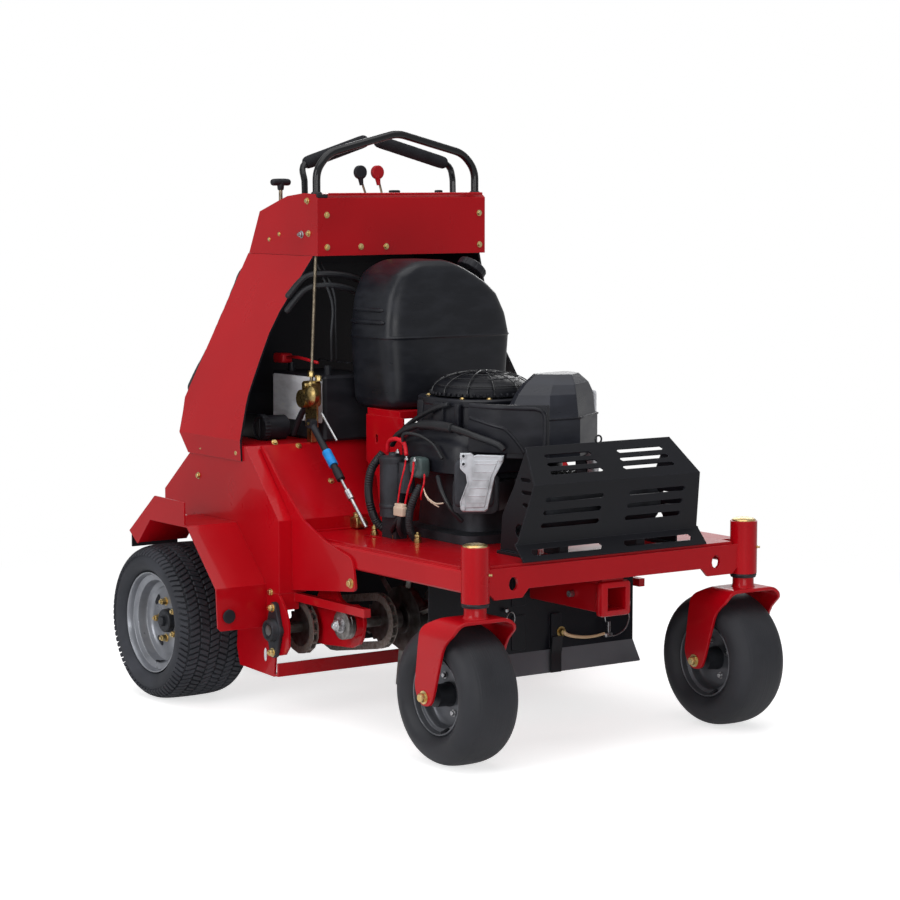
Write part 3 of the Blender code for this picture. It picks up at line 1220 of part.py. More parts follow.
def build_screen():
    """Domed wire guard over the fan: ribs and hoops as one lattice."""
    ribs, hoops, rise = 11, 3, 0.050
    bm = bmesh.new()
    rings = []
    for j in range(hoops + 1):
        share = 1 - j * 0.84 / hoops
        height = rise * (1 - share ** 2) ** 0.5 if share < 1 else 0.0
        ring = []
        for i in range(ribs):
            angle = 2 * math.pi * i / ribs + (1 - share) * 0.35
            radius = SCREEN_R * share
            ring.append(bm.verts.new((ENGINE_X + radius * math.cos(angle),
                                      ENGINE_Y + radius * math.sin(angle), SCREEN_Z + height)))
        rings.append(ring)
    for a, b in zip(rings, rings[1:]):
        for i in range(ribs):
            j = (i + 1) % ribs
            bm.faces.new((a[i], a[j], b[j], b[i]))
    bm.faces.new(rings[-1])
    screen = add("fan_screen", mesh_from(bm, "fan_screen"), BLACK_PAINT)
    wire = screen.modifiers.new("wire", 'WIREFRAME')
    wire.thickness = 0.0056
    wire.use_replace = True
    wire.use_boundary = True
    wire.use_even_offset = False
    return screen


def build_air_cleaner():
    """Faceted air cleaner cover in front of the screen, with a parting lip."""
    low = [(-0.150, 0.205), (-0.075, 0.142), (0.012, 0.142), (0.125, 0.222), (0.125, 0.280),
           (0.080, 0.286), (-0.010, 0.262), (-0.120, 0.262)]
    high = [(-0.128, 0.222), (-0.064, 0.158), (0.006, 0.158), (0.098, 0.226), (0.100, 0.278),
            (0.070, 0.284), (-0.010, 0.262), (-0.110, 0.262)]
    roof = [(-0.100, 0.232), (-0.050, 0.180), (0.002, 0.180), (0.052, 0.222), (0.070, 0.272),
            (0.050, 0.278), (-0.010, 0.260), (-0.090, 0.256)]
    base = SCREEN_Z - 0.115
    cleaner = loft("air_cleaner", [level_ring(low, base), level_ring(low, 0.735),
                                   level_ring(high, 0.740), level_ring(high, 0.812),
                                   level_ring(roof, 0.834)], BLACK_PLASTIC)
    horn = box("intake_horn", (ENGINE_X - 0.055, 0.200, base - 0.012),
               (ENGINE_X + 0.055, ENGINE_Y - 0.140 - FIT, base + 0.030))
    return join(cleaner, horn)


def build_cylinder(side, label):
    """Finned cylinder leaning out of the crankcase, closed by its valve cover."""
    turn = math.radians(58) * side
    carrier = empty("cylinder_frame_" + label, (ENGINE_X, ENGINE_Y - 0.085, 0.512), CHASSIS)
    carrier.rotation_euler = (0, 0, turn)
    start, pitch, count = BARREL_START, 0.0125, 5
    half, fin_half = 0.042, 0.056
    left, right = [], []
    for i in range(count):
        y = start - i * pitch
        left += [(-half, y), (-fin_half, y), (-fin_half, y - 0.005), (-half, y - 0.005)]
        right += [(half, y), (fin_half, y), (fin_half, y - 0.005), (half, y - 0.005)]
    fins = left + list(reversed(right))
    barrel = plate("cylinder_" + label, [fins], 0.080, "Z", 0.045, ALUMINIUM, carrier)
    head = start - (count - 1) * pitch - 0.005
    cover = box("valve_cover_" + label, (-0.060, head - 0.040, 0.004), (0.060, head + 0.002, 0.142),
                parent=carrier)
    bevel(cover, 0.012, 2)
    join(barrel, cover)
    return carrier


def build_muffler():
    """Round muffler lying across the front, strapped to the deck by two feet."""
    middle_y, middle_z, radius = 0.072, 0.545, 0.047
    muffler = cylinder("muffler", radius, 0.330, (0.0, middle_y, middle_z), "X", CAST, 20)
    bevel(muffler, 0.012)
    feet = []
    for x in (-0.11, 0.11):
        feet.append(box("muffler_foot_%+.2f" % x, (x - 0.012, middle_y - 0.03, DECK_TOP + FIT),
                        (x + 0.012, middle_y + 0.03, middle_z)))
    join(muffler, *feet)
    return muffler


def build_guard():
    """Bent heat guard: slotted toe, slotted upright and slotted sloping top between end plates."""
    half, gauge = 0.262, 0.0035
    curve = bpy.data.curves.new("guard", 'CURVE')
    curve.dimensions = '2D'
    curve.extrude = half
    spline = curve.splines.new('POLY')
    spline.points.add(len(GUARD_PROFILE) - 1)
    for point, place in zip(spline.points, GUARD_PROFILE):
        point.co = (*place, 0.0, 1.0)
    guard = add("muffler_guard", curve_mesh(curve, "guard"), BLACK_PAINT, (0, 0, 0),
                FACE_TURN["X"])
    sheet = guard.modifiers.new("sheet", 'SOLIDIFY')
    sheet.thickness = gauge
    sheet.offset = 0.0
    sheet.use_even_offset = True
    trims = []
    for side in (-1, 1):
        outer = side * (half + 0.03)
        trims.append(plate("guard_trim_%+d" % side,
                           [[(outer, 0.47), (side * (half - 0.006), 0.485),
                             (side * (half - 0.026), 0.613), (side * (half - 0.060), 0.700),
                             (outer, 0.720)]], 0.3, "Y", 0.02))
    cut(guard, *trims)
    for row in range(3):
        share = 0.28 + 0.22 * row
        y = GUARD_PROFILE[2][0] + share * (GUARD_PROFILE[3][0] - GUARD_PROFILE[2][0])
        z = GUARD_PROFILE[2][1] + share * (GUARD_PROFILE[3][1] - GUARD_PROFILE[2][1])
        for side in (-1, 1):
            length = 0.150 - 0.008 * row
            slit = plate("top_slot_%d%+d" % (row, side),
                         [slot((side * 0.103, 0), length, 0.011, 1)], 0.03, "Z", 0.0)
            slit.location = (0, y, z)
            slit.rotation_euler = (math.radians(45.8), 0, 0)
            cut(guard, slit)
    for row in range(3):
        share = 0.30 + 0.22 * row
        y = GUARD_PROFILE[1][0] + share * (GUARD_PROFILE[2][0] - GUARD_PROFILE[1][0])
        z = GUARD_PROFILE[1][1] + share * (GUARD_PROFILE[2][1] - GUARD_PROFILE[1][1])
        for side in (-1, 1):
            slit = plate("face_slot_%d%+d" % (row, side),
                         [slot((side * 0.118, z), 0.165, 0.011, 1)], 0.04, "Y", y)
            cut(guard, slit)
    toe_y = (GUARD_PROFILE[0][0] + GUARD_PROFILE[1][0]) / 2
    toe_z = (GUARD_PROFILE[0][1] + GUARD_PROFILE[1][1]) / 2
    for side in (-1, 1):
        slit = plate("toe_slot_%+d" % side, [slot((side * 0.130, toe_z), 0.200, 0.012, 1)], 0.05,
                     "Y", toe_y)
        cut(guard, slit)
    cheek = [(0.0225, 0.4440), (0.0225, 0.4800), (-0.0135, 0.6130), (0.0595, 0.6885),
             (0.105, 0.600), (0.150, 0.530), (0.158, 0.4440)]
    holes = [circle((0.085, 0.500), 0.016, 12)]
    for row in range(3):
        holes.append(slot((0.055 + 0.004 * row, 0.560 + 0.028 * row), 0.040, 0.009, 1))
    sides = []
    for side in (-1, 1):
        lean = plate("guard_cheek_%+d" % side, [cheek] + holes, gauge, "X", side * 0.200)
        sides.append(lean)
        foot = box("guard_foot_%+d" % side, (side * 0.200 - 0.014, 0.026, DECK_TOP + FIT),
                   (side * 0.200 + 0.014, 0.154, DECK_TOP + 0.0073))
        sides.append(foot)
    join(guard, *sides)
    return guard


def build_starter():
    """Starter motor with its solenoid, standing beside the crankcase."""
    starter = cylinder("starter_motor", 0.034, 0.130, (-0.258, 0.500, 0.560), "Z", CAST, 20)
    solenoid = cylinder("solenoid", 0.019, 0.070, (-0.258, 0.448, 0.590), "Z", sides=16)
    foot = box("starter_foot", (-0.273, 0.47, DECK_TOP + FIT), (-0.243, 0.53, 0.50))
    link = box("starter_link", (-0.270, 0.446, 0.56), (-0.246, 0.50, 0.60))
    join(starter, solenoid, foot, link)
    return starter


# Tank, battery, hydraulics.
def build_tank():
    """Moulded fuel tank: leaning faces that meet at a crease, a skewed roof, round corners."""
    x = TANK_HALF
    front, rear = TANK_FRONT_Y, TANK_REAR_Y
    sections = [(TANK_BOTTOM, -x + 0.014, x - 0.020, front + 0.020, rear - 0.03, 0.035),
                (TANK_BOTTOM + 0.012, -x + 0.008, x - 0.014, front + 0.014, rear - 0.02, 0.04),
                (0.898, -x - 0.002, x, front, rear, 0.045),
                (0.908, -x + 0.003, x - 0.004, front + 0.006, rear, 0.045),
                (0.996, -x + 0.012, 0.148, front + 0.014, rear - 0.008, 0.045),
                (1.046, -0.148, 0.080, front + 0.026, rear - 0.02, 0.04),
                (1.072, -0.108, 0.030, front + 0.044, rear - 0.04, 0.03),
                (1.080, -0.086, 0.006, front + 0.062, rear - 0.06, 0.02)]
    rings = [rounded_ring(x0, x1, y0, y1, z, r, 4) for z, x0, x1, y0, y1, r in sections]
    tank = loft("fuel_tank", rings, BLACK_PLASTIC)
    smooth_side(tank, 28)
    centre, lean = Vector(CAP_PLACE), math.radians(CAP_LEAN)
    aim = Vector((math.sin(lean), 0, math.cos(lean)))
    neck = bar("filler_neck", centre - aim * 0.07, centre - aim * FIT, 0.028, sides=24)
    join(tank, neck)
    return tank


def build_cap():
    """Ribbed screw cap on the leaning filler neck."""
    lean = math.radians(CAP_LEAN)
    seat = empty("cap_axis", CAP_PLACE, CHASSIS)
    seat.rotation_euler = (0, lean, 0)
    lobes = []
    for i in range(24):
        radius = 0.039 if i % 2 else 0.0365
        angle = 2 * math.pi * i / 24
        lobes.append((radius * math.cos(angle), radius * math.sin(angle)))
    cap = plate("fuel_cap", [lobes], 0.022, "Z", 0.011, BLACK_PLASTIC, seat)
    crown = turned("cap_crown", [(0, 0.028), (0.020, 0.028), (0.033, 0.023), (0.033, 0.020),
                                 (0, 0.020)], (0, 0, 0), "Z", steps=24, parent=seat)
    join(cap, crown)
    return cap


def build_battery():
    """Battery on the body's top, with its two terminal posts."""
    low = BODY_TOP + FIT
    battery = box("battery", (-0.240, 0.830, low), (-0.072, 1.078, low + 0.160), BLACK_PLASTIC)
    bevel(battery, 0.006)
    posts = []
    for y in (0.870, 1.038):
        posts.append(cylinder("battery_post_%.2f" % y, 0.009, 0.030, (-0.205, y, low + 0.168),
                              "Z", sides=12))
    join(battery, *posts)
    return battery


def build_filter():
    """Hydraulic filter bowl lying beside the battery on the body's top."""
    return bevel(cylinder("hydraulic_filter", 0.030, 0.070, (-0.310, 0.957, BODY_TOP + 0.0303),
                          "X", BLACK_PLASTIC, 24), 0.004)


def build_tank_bracket():
    """Tapered bracket that stands on the deck's rear edge and carries the tank."""
    outline = [(0.600, 0.4445), (0.682, 0.4445), (0.700, 0.560), (0.745, 0.600), (0.745, 0.712),
               (0.588, 0.712), (0.588, 0.640), (0.600, 0.560)]
    bracket = plate("tank_bracket", [list(reversed(outline)), circle((0.620, 0.660), 0.005, 10),
                                     slot((0.700, 0.655), 0.010, 0.022, 3),
                                     slot((0.655, 0.600), 0.010, 0.022, 3)], 0.005, "X", -0.172,
                    RED)
    shelf = box("tank_shelf", (-0.1740, 0.600, 0.7100), (0.160, 0.740, TANK_BOTTOM - FIT))
    foot = box("tank_foot", (-0.1740, 0.602, DECK_TOP + FIT), (-0.130, 0.680, 0.4505))
    leg = box("tank_leg", (0.152, 0.600, DECK_TOP + FIT), (0.160, 0.740, 0.7135))
    notch = plate("leg_notch", [[(0.690, 0.40), (0.80, 0.40), (0.80, 0.600), (0.742, 0.600),
                                 (0.690, 0.5)]], 0.05, "X", 0.156)
    join(bracket, shelf, foot, leg)
    cut(bracket, notch)
    return bracket


def build_valve():
    """Gold-plated hydraulic valve on the battery shelf, with its rod to the console."""
    x = -0.268
    block = box("hydraulic_valve", (x - 0.020, 0.822, 0.728), (x + 0.016, 0.862, 0.790), GOLD_ZINC)
    bevel(block, 0.005)
    wheel = cylinder("valve_wheel", 0.022, 0.018, (x - 0.024, 0.842, 0.748), "X", sides=20)
    rod = bar("valve_rod", (x, 0.846, 0.78), (x + 0.030, 0.868, CONSOLE_BOTTOM + 0.030), 0.004,
              sides=10)
    foot = box("valve_foot", (x - 0.004, 0.840, BODY_TOP + FIT), (x + 0.010, 0.860, 0.735))
    eye_y, eye_z = LINK_TOP[1], LINK_TOP[2]
    lug_x, pin_reach = LINK_TOP[0] + LINK_EYE_HALF + FIT, 2 * LINK_EYE_HALF + 0.003
    lug = box("link_lug", (lug_x, eye_y - 0.008, eye_z - 0.010), (lug_x + 0.0045, 0.850, 0.735))
    pin = cylinder("link_pin", LINK_EYE_R - RUNNING, pin_reach + 0.002,
                   (lug_x + 0.001 - pin_reach / 2, eye_y, eye_z), "X", sides=12)
    join(block, wheel, rod, foot, lug, pin)
    return block


def build_link_barrel():
    """Outer tube of the lift link: an eye below the valve and a bore for the rod."""
    start, end = Vector(LINK_TOP), Vector(LINK_MOUTH)
    aim = (end - start).normalized()
    barrel = bar("link_barrel", start, end, 0.0085, BLACK_PLASTIC, 14)
    eye = cylinder("link_eye", 0.012, 2 * LINK_EYE_HALF, start, "X", sides=14)
    pin_bore = cylinder("link_eye_bore", LINK_EYE_R, 0.05, start, "X", sides=12)
    collar = bar("link_collar", end - aim * 0.030, end, 0.0105, sides=14)
    join(barrel, eye, collar)
    cut(barrel, pin_bore,
        bar("link_bore", end - aim * 0.132, end + aim * 0.02, 0.0040 + RUNNING, sides=14))
    return aim


def build_link_rod(aim):
    """Bright rod that slides out of the barrel, with its clevis and lower tail."""
    seat = empty("link_frame", LINK_MOUTH, CHASSIS)
    rod = bar("link_rod", aim * -0.120, aim * 0.050, 0.0040, STEEL, 14, parent=seat)
    clevis = bar("link_clevis", aim * 0.036, aim * 0.062, 0.0085, sides=10, parent=seat)
    tail = bar("link_tail", aim * 0.055, aim * 0.150, 0.0045, sides=12, parent=seat)
    join(rod, clevis, tail)
    return rod


# Front shield and platform.
def build_front_shield():
    """Black plate that closes the front of the coring chamber, with a bent toe."""
    half, gauge = 0.298, 0.004
    y = 0.302
    profile = [(y, DECK_BOTTOM - FIT), (y, 0.176), (y - 0.030, 0.128)]
    curve = bpy.data.curves.new("shield", 'CURVE')
    curve.dimensions = '2D'
    curve.extrude = half
    spline = curve.splines.new('POLY')
    spline.points.add(len(profile) - 1)
    for point, place in zip(spline.points, profile):
        point.co = (*place, 0.0, 1.0)
    shield = add("front_shield", curve_mesh(curve, "shield"), BLACK_PAINT, (0, 0, 0),
                 FACE_TURN["X"])
    sheet = shield.modifiers.new("sheet", 'SOLIDIFY')
    sheet.thickness = gauge
    sheet.offset = 0.0
    sheet.use_even_offset = True
    slits = []
    for x in (-0.21, -0.07, 0.07, 0.21):
        slits.append(plate("shield_slot_%+.2f" % x, [slot((x, 0.375), 0.060, 0.022, 3)], 0.05,
                           "Y", y))
    cut(shield, *slits)
    strap = plate("latch_strap", [[(0.046, 0.262), (0.074, 0.262), (0.074, 0.180), (0.046, 0.180)]],
                  0.010, "Y", y - 0.006)
    stay_r = box("shield_stay_r", (-0.30, y - 0.001, 0.400), (-0.296, y + 0.060, DECK_BOTTOM - FIT))
    stay_l = box("shield_stay_l", (0.296, y - 0.001, 0.400), (0.30, y + 0.060, DECK_BOTTOM - FIT))
    join(shield, strap, stay_r, stay_l)
    return shield


def build_platform():
    """Operator platform: a tray with raised rims that folds up about its front hinge."""
    hinge = empty("platform_hinge", (0, PLATFORM_HINGE_Y, PLATFORM_HINGE_Z), CHASSIS)
    half, length = PLATFORM_HALF, PLATFORM_LENGTH
    tray = box("platform", (-half, 0.014, -0.018), (half, length + 0.014, -0.012), BLACK_PAINT,
               hinge)
    pieces = []
    for side in (-1, 1):
        a, b = sorted((side * half, side * (half - 0.005)))
        pieces.append(box("platform_rim_%+d" % side, (a, 0.014, -0.018),
                          (b, length + 0.014, 0.014), parent=hinge))
        pieces.append(box("platform_ear_%+d" % side, (min(side * half, side * (half - 0.012)),
                                                      -0.012, -0.014),
                          (max(side * half, side * (half - 0.012)), 0.030, 0.014), parent=hinge))
    pieces.append(box("platform_back", (-half + 0.001, length + 0.009, -0.0175),
                      (half - 0.001, length + 0.014, 0.006), parent=hinge))
    pin = cylinder("platform_pin", 0.006, 2 * (half + 0.022), (0, 0, 0), "X", sides=16,
                   parent=hinge)
    join(tray, *pieces, pin)
    return tray


# Assembly.
main_frame = build_main_frame()
pin_bore = cylinder("platform_pin_bore", 0.006 + RUNNING, 1.0,
                    (0, PLATFORM_HINGE_Y, PLATFORM_HINGE_Z), "X", sides=16)
cut(main_frame, pin_bore)
receiver_z = build_receiver()
build_hitch_pin(receiver_z)
for machine_side, label_text in ((-1, "right"), (1, "left")):
    build_caster(machine_side, label_text)
    build_drive_wheel(machine_side, label_text)
    build_gusset(machine_side, label_text)
    build_fender(machine_side, label_text)
    build_bearing(machine_side, label_text)
    build_drive_lever(machine_side, label_text)
build_body()
build_tower()
build_console()
build_small_lever("throttle_lever", THROTTLE_X, BLACK_PLASTIC, -0.014)
build_small_lever("choke_lever", CHOKE_X, RED_PLASTIC, -0.010)
build_pull_handle()
build_pad()
build_tine_housing()
build_chain("chain_primary", -CHAIN_X_OUTER, COUNTER_Y, COUNTER_Z, SPROCKET_TEETH, MOTOR_Y,
            MOTOR_Z, MOTOR_TEETH)
build_countershaft()
build_tine_motor()
lift_pivot, tine_place = build_lift_frame()
build_tine_drum(lift_pivot, tine_place)
build_chain("chain_tine", -CHAIN_X_INNER, 0.0, 0.0, SPROCKET_TEETH, tine_place[0], tine_place[1],
            SPROCKET_TEETH, lift_pivot)
build_engine([build_cylinder(-1, "right"), build_cylinder(1, "left")])
build_screen()
build_air_cleaner()
build_starter()
build_muffler()
build_guard()
build_tank()
build_cap()
build_battery()
build_filter()
build_tank_bracket()
build_valve()
build_link_rod(build_link_barrel())
build_front_shield()
build_platform()
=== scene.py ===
import json
import math

import bmesh
import bpy
import numpy as np
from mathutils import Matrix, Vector

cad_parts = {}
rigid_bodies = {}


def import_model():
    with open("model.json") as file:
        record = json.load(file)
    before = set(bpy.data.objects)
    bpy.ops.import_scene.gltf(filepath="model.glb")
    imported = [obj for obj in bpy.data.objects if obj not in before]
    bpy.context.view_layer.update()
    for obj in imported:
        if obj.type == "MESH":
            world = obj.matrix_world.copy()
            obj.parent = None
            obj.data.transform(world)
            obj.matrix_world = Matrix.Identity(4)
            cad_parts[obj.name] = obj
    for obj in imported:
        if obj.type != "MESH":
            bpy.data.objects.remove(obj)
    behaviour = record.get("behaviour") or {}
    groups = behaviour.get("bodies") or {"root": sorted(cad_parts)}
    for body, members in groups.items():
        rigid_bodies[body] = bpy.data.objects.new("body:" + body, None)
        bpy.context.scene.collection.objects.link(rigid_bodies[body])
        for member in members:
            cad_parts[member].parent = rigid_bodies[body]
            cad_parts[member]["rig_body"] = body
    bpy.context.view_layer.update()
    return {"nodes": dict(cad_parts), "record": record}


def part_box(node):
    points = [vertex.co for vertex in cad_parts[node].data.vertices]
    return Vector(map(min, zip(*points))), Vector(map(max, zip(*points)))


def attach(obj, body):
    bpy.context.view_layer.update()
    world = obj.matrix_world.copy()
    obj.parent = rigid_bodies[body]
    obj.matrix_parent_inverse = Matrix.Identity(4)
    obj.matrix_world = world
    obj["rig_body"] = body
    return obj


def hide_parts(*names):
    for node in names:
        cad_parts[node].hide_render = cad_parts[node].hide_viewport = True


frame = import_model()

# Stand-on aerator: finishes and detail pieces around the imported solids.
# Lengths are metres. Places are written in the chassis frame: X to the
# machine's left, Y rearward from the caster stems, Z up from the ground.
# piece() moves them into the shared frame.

STEM_Y = -0.766
TAU = 2 * math.pi
X, Y, Z = np.eye(3)
SIDES = (("left", 1.0), ("right", -1.0))

# Camera at the photograph's angle.

YAW, PITCH = math.radians(35.128), math.radians(5.924)
CAMERA_AT = (-3.7182, -5.4103, 1.2928)
CAMERA_LENS, CAMERA_SENSOR, CAMERA_REACH = 106.867, 36.0, 60.0


def added(name, data):
    """A new object in the scene, at the origin."""
    made = bpy.data.objects.new(name, data)
    bpy.context.scene.collection.objects.link(made)
    return made


camera = added("camera", bpy.data.cameras.new("camera"))
camera.data.sensor_width, camera.data.lens = CAMERA_SENSOR, CAMERA_LENS
camera.data.clip_end = CAMERA_REACH
camera.location = CAMERA_AT
camera.rotation_euler = (math.pi / 2 - PITCH, 0.0, -YAW)
bpy.context.scene.camera = camera
bpy.context.scene.view_settings.view_transform = "Standard"


# Shader nodes.

class Val:
    """A shader socket. Arithmetic on it adds Math nodes beside it."""

    def __init__(self, nodes, socket):
        self.nodes, self.socket = nodes, socket

    def math(self, operation, a, b):
        return self.nodes.node("Math", {"operation": operation}, {0: a, 1: b})

    def __add__(self, other):
        return self.math("ADD", self, other)

    def __sub__(self, other):
        return self.math("SUBTRACT", self, other)

    def __rsub__(self, other):
        return self.math("SUBTRACT", other, self)

    def __mul__(self, other):
        return self.math("MULTIPLY", self, other)

    def maximum(self, other):
        return self.math("MAXIMUM", self, other)

    __radd__ = __add__
    __rmul__ = __mul__


class Nodes:
    """One node tree, with one way to add any node to it."""

    def __init__(self, tree):
        self.tree = tree

    def node(self, kind, settings=None, sockets=None, out=0):
        made = self.tree.nodes.new("ShaderNode" + kind)
        for key, value in (settings or {}).items():
            setattr(made, key, value)
        for key, value in (sockets or {}).items():
            self.feed(made.inputs[key], value)
        return Val(self, made.outputs[out])

    def feed(self, socket, value):
        if isinstance(value, Val):
            self.tree.links.new(value.socket, socket)
        else:
            socket.default_value = value


def seen(red, green, blue):
    """A colour as the eye reads it, 0 to 255, as the linear value shaders use."""
    parts = [c / 255 for c in (red, green, blue)]
    return tuple(c / 12.92 if c < 0.04045 else ((c + 0.055) / 1.055) ** 2.4 for c in parts) + (1.0,)


def shade(colour, share, lift=0.0):
    """A lighter or darker tint of a linear colour."""
    return tuple(c * share + lift for c in colour[:3]) + (1.0,)


class Finish(Nodes):
    """A Principled material. Values that are the same all over go on the shader."""

    def __init__(self, name, **fixed):
        self.material = bpy.data.materials.new(name)
        self.material.use_nodes = True
        super().__init__(self.material.node_tree)
        self.shader = self.tree.nodes["Principled BSDF"]
        for key, value in fixed.items():
            self.shader.inputs[key.replace("_", " ")].default_value = value
        self.place = self.node("TexCoord", out="Object")

    def noise(self, scale, detail=3.0, stretch=None):
        place = self.place
        if stretch:
            place = self.node("Mapping", {}, {"Vector": place, "Scale": stretch})
        return self.node("TexNoise", {}, {"Vector": place, "Scale": scale, "Detail": detail})

    def cells(self, scale):
        return self.node("TexVoronoi", {}, {"Vector": self.place, "Scale": scale}, "Distance")

    def spread(self, value, low, high, to_low=0.0, to_high=1.0):
        return self.node("MapRange", {}, {"Value": value, "From Min": low, "From Max": high,
                                          "To Min": to_low, "To Max": to_high})

    def blend(self, mask, a, b):
        return self.node("Mix", {"data_type": "RGBA"}, {0: mask, 6: a, 7: b}, 2)

    def rounded(self, radius):
        return self.node("Bevel", {"samples": 4}, {"Radius": radius})

    def edges(self, rounded):
        """1 on edges, where the rounded normal leans away from the flat one."""
        flat = self.node("NewGeometry", out="Normal")
        lean = self.node("VectorMath", {"operation": "DOT_PRODUCT"}, {0: rounded, 1: flat}, "Value")
        return self.spread(1 - lean, 0.02, 0.3)

    def done(self, colour, roughness, height=None, depth=0.0001, normal=None, metal=None):
        self.feed(self.shader.inputs["Base Color"], colour)
        self.feed(self.shader.inputs["Roughness"], roughness)
        if metal is not None:
            self.feed(self.shader.inputs["Metallic"], metal)
        if height is not None:
            sockets = {"Height": height, "Distance": depth, "Strength": 1.0}
            if normal is not None:
                sockets["Normal"] = normal
            self.feed(self.shader.inputs["Normal"], self.node("Bump", {}, sockets))
        return self.material


def gloss_paint(name, colour, lip, roughness=0.3, coat=0.22):
    """Sprayed gloss paint: slow drift of tone, orange peel, and a paler tint on thin edges as a
    painted highlight.
    """
    f = Finish(name, Coat_Roughness=0.06, Specular_IOR_Level=0.14)
    f.feed(f.shader.inputs["Coat Weight"], coat)
    drift, dust = f.noise(2.3, 2), f.noise(11, 3)
    deep = shade(colour, 0.8)
    body = f.blend(f.spread(drift, 0.35, 0.65), deep, colour)
    grey = shade(colour, 0.92, 0.004)
    body = f.blend(f.spread(dust, 0.45, 0.8, 0, 0.3), body, grey)
    turned_normal = f.rounded(0.0016)
    # Painted highlight: the pale lip tint laid on rounded edges, broken up by the dust noise.
    painted_edge_highlight = f.edges(turned_normal) * f.spread(dust, 0.35, 0.6, 0.25, 0.8)
    peel = f.noise(520, 1)
    return f.done(f.blend(painted_edge_highlight, body, lip),
                  f.spread(dust, 0.3, 0.7, roughness - 0.04, roughness + 0.08),
                  peel, 0.00002, turned_normal)


def powder_coat(name, colour, lip, roughness=0.42):
    """Baked satin powder: a fine even pebble, and a paler tint on folds and cut edges as a painted
    highlight.
    """
    f = Finish(name, Specular_IOR_Level=0.22)
    drift, pebble = f.noise(3.1, 3), f.noise(1300, 1)
    pale = shade(colour, 1.5)
    body = f.blend(f.spread(drift, 0.4, 0.7), colour, pale)
    turned_normal = f.rounded(0.0015)
    # Painted highlight: the pale lip tint laid on folds and cut edges.
    painted_edge_highlight = f.edges(turned_normal) * f.spread(f.noise(60, 3), 0.3, 0.6, 0.3, 0.9)
    return f.done(f.blend(painted_edge_highlight, body, lip),
                  f.spread(drift, 0.3, 0.7, roughness - 0.05, roughness + 0.07),
                  pebble, 0.00005, turned_normal)


def moulded(name, colour, roughness=0.48, grain=900, depth=0.00006):
    """Moulded plastic: leather-like grain, faint scuffs, a little dust in the open."""
    f = Finish(name, Specular_IOR_Level=0.3)
    scuff = f.noise(14, 5, (1.0, 1.0, 3.0))
    pale = shade(colour, 1.45, 0.004)
    body = f.blend(f.spread(scuff, 0.45, 0.75), colour, pale)
    return f.done(body, f.spread(scuff, 0.3, 0.7, roughness - 0.07, roughness + 0.08),
                  f.noise(grain, 2), depth, f.rounded(0.002))


def rubber(name, colour, dusty, roughness=0.72, lines=0.0):
    """Tyre rubber: matt, with pale dust and fine pitting."""
    f = Finish(name, Specular_IOR_Level=0.35)
    dust, pits = f.noise(9, 5), f.noise(700, 2)
    body = f.blend(f.spread(dust, 0.4, 0.75, 0.0, 0.75), colour, dusty)
    return f.done(body, f.spread(dust, 0.3, 0.7, roughness - 0.08, roughness + 0.1),
                  pits + dust * lines, 0.00012)


def plated(name, colour, other, roughness=0.28, scale=90):
    """Plated steel: two tints of plating in clouds, small scratches."""
    f = Finish(name, Metallic=1.0)
    cloud, scratch = f.noise(scale, 4), f.noise(900, 2, (1.0, 0.15, 1.0))
    body = f.blend(f.spread(cloud, 0.35, 0.65), colour, other)
    return f.done(body, f.spread(scratch, 0.35, 0.65, roughness - 0.07, roughness + 0.12), scratch,
                  0.00003, f.rounded(0.0008))


def painted_rim(name, colour, lip):
    """Silver wheel paint: fine metal flake, a bright tint on rolled edges as a painted
    highlight, grime gathered in slow patches."""
    f = Finish(name, Metallic=0.55, Coat_Roughness=0.2)
    flake, grime = f.noise(2400, 1), f.noise(17, 4)
    dark = shade(colour, 0.6)
    body = f.blend(f.spread(grime, 0.35, 0.75), colour, dark)
    turned_normal = f.rounded(0.0022)
    # Painted highlight: the bright lip tint on rolled edges.
    body = f.blend(f.edges(turned_normal) * 0.8, body, lip)
    return f.done(body, f.spread(grime, 0.3, 0.7, 0.27, 0.42), flake, 0.00002, turned_normal)


def cast_metal(name, colour, roughness=0.55, metal=0.85, depth=0.0004):
    """Sand-cast metal: coarse skin with oil-dark hollows."""
    f = Finish(name)
    skin, oil = f.noise(420, 3), f.noise(21, 4)
    dark = shade(colour, 0.5)
    body = f.blend(f.spread(oil, 0.42, 0.7), colour, dark)
    return f.done(body, f.spread(skin, 0.3, 0.7, roughness - 0.08, roughness + 0.12), skin, depth,
                  metal=metal)


def oiled_chain(name, colour, rust):
    """Chain steel under old oil: brown film over grey plates."""
    f = Finish(name)
    film, grit = f.noise(110, 4), f.noise(600, 3)
    body = f.blend(f.spread(film, 0.38, 0.66), colour, rust)
    return f.done(body, f.spread(film, 0.35, 0.7, 0.38, 0.66), grit, 0.0001,
                  metal=f.spread(film, 0.4, 0.7, 0.9, 0.35))


def foam(name, colour):
    """Closed-cell grip foam: small round pores over a matt skin."""
    f = Finish(name, Specular_IOR_Level=0.3)
    pores, drift = f.cells(620), f.noise(18, 3)
    pale = shade(colour, 1.7, 0.003)
    body = f.blend(f.spread(drift, 0.4, 0.7), colour, pale)
    return f.done(body, f.spread(pores, 0.1, 0.6, 0.75, 0.92), f.spread(pores, 0.0, 0.5), 0.0005)


def vinyl(name, colour):
    """Upholstery vinyl: creased leather grain and slow sheen changes."""
    f = Finish(name, Specular_IOR_Level=0.45)
    grain, sheen = f.cells(330), f.noise(7, 4)
    pale = shade(colour, 1.8, 0.002)
    body = f.blend(f.spread(sheen, 0.4, 0.7), colour, pale)
    height = f.spread(grain, 0.0, 0.35) + 0.4 * f.noise(900, 2)
    return f.done(body, f.spread(sheen, 0.3, 0.7, 0.44, 0.6), height, 0.00022)
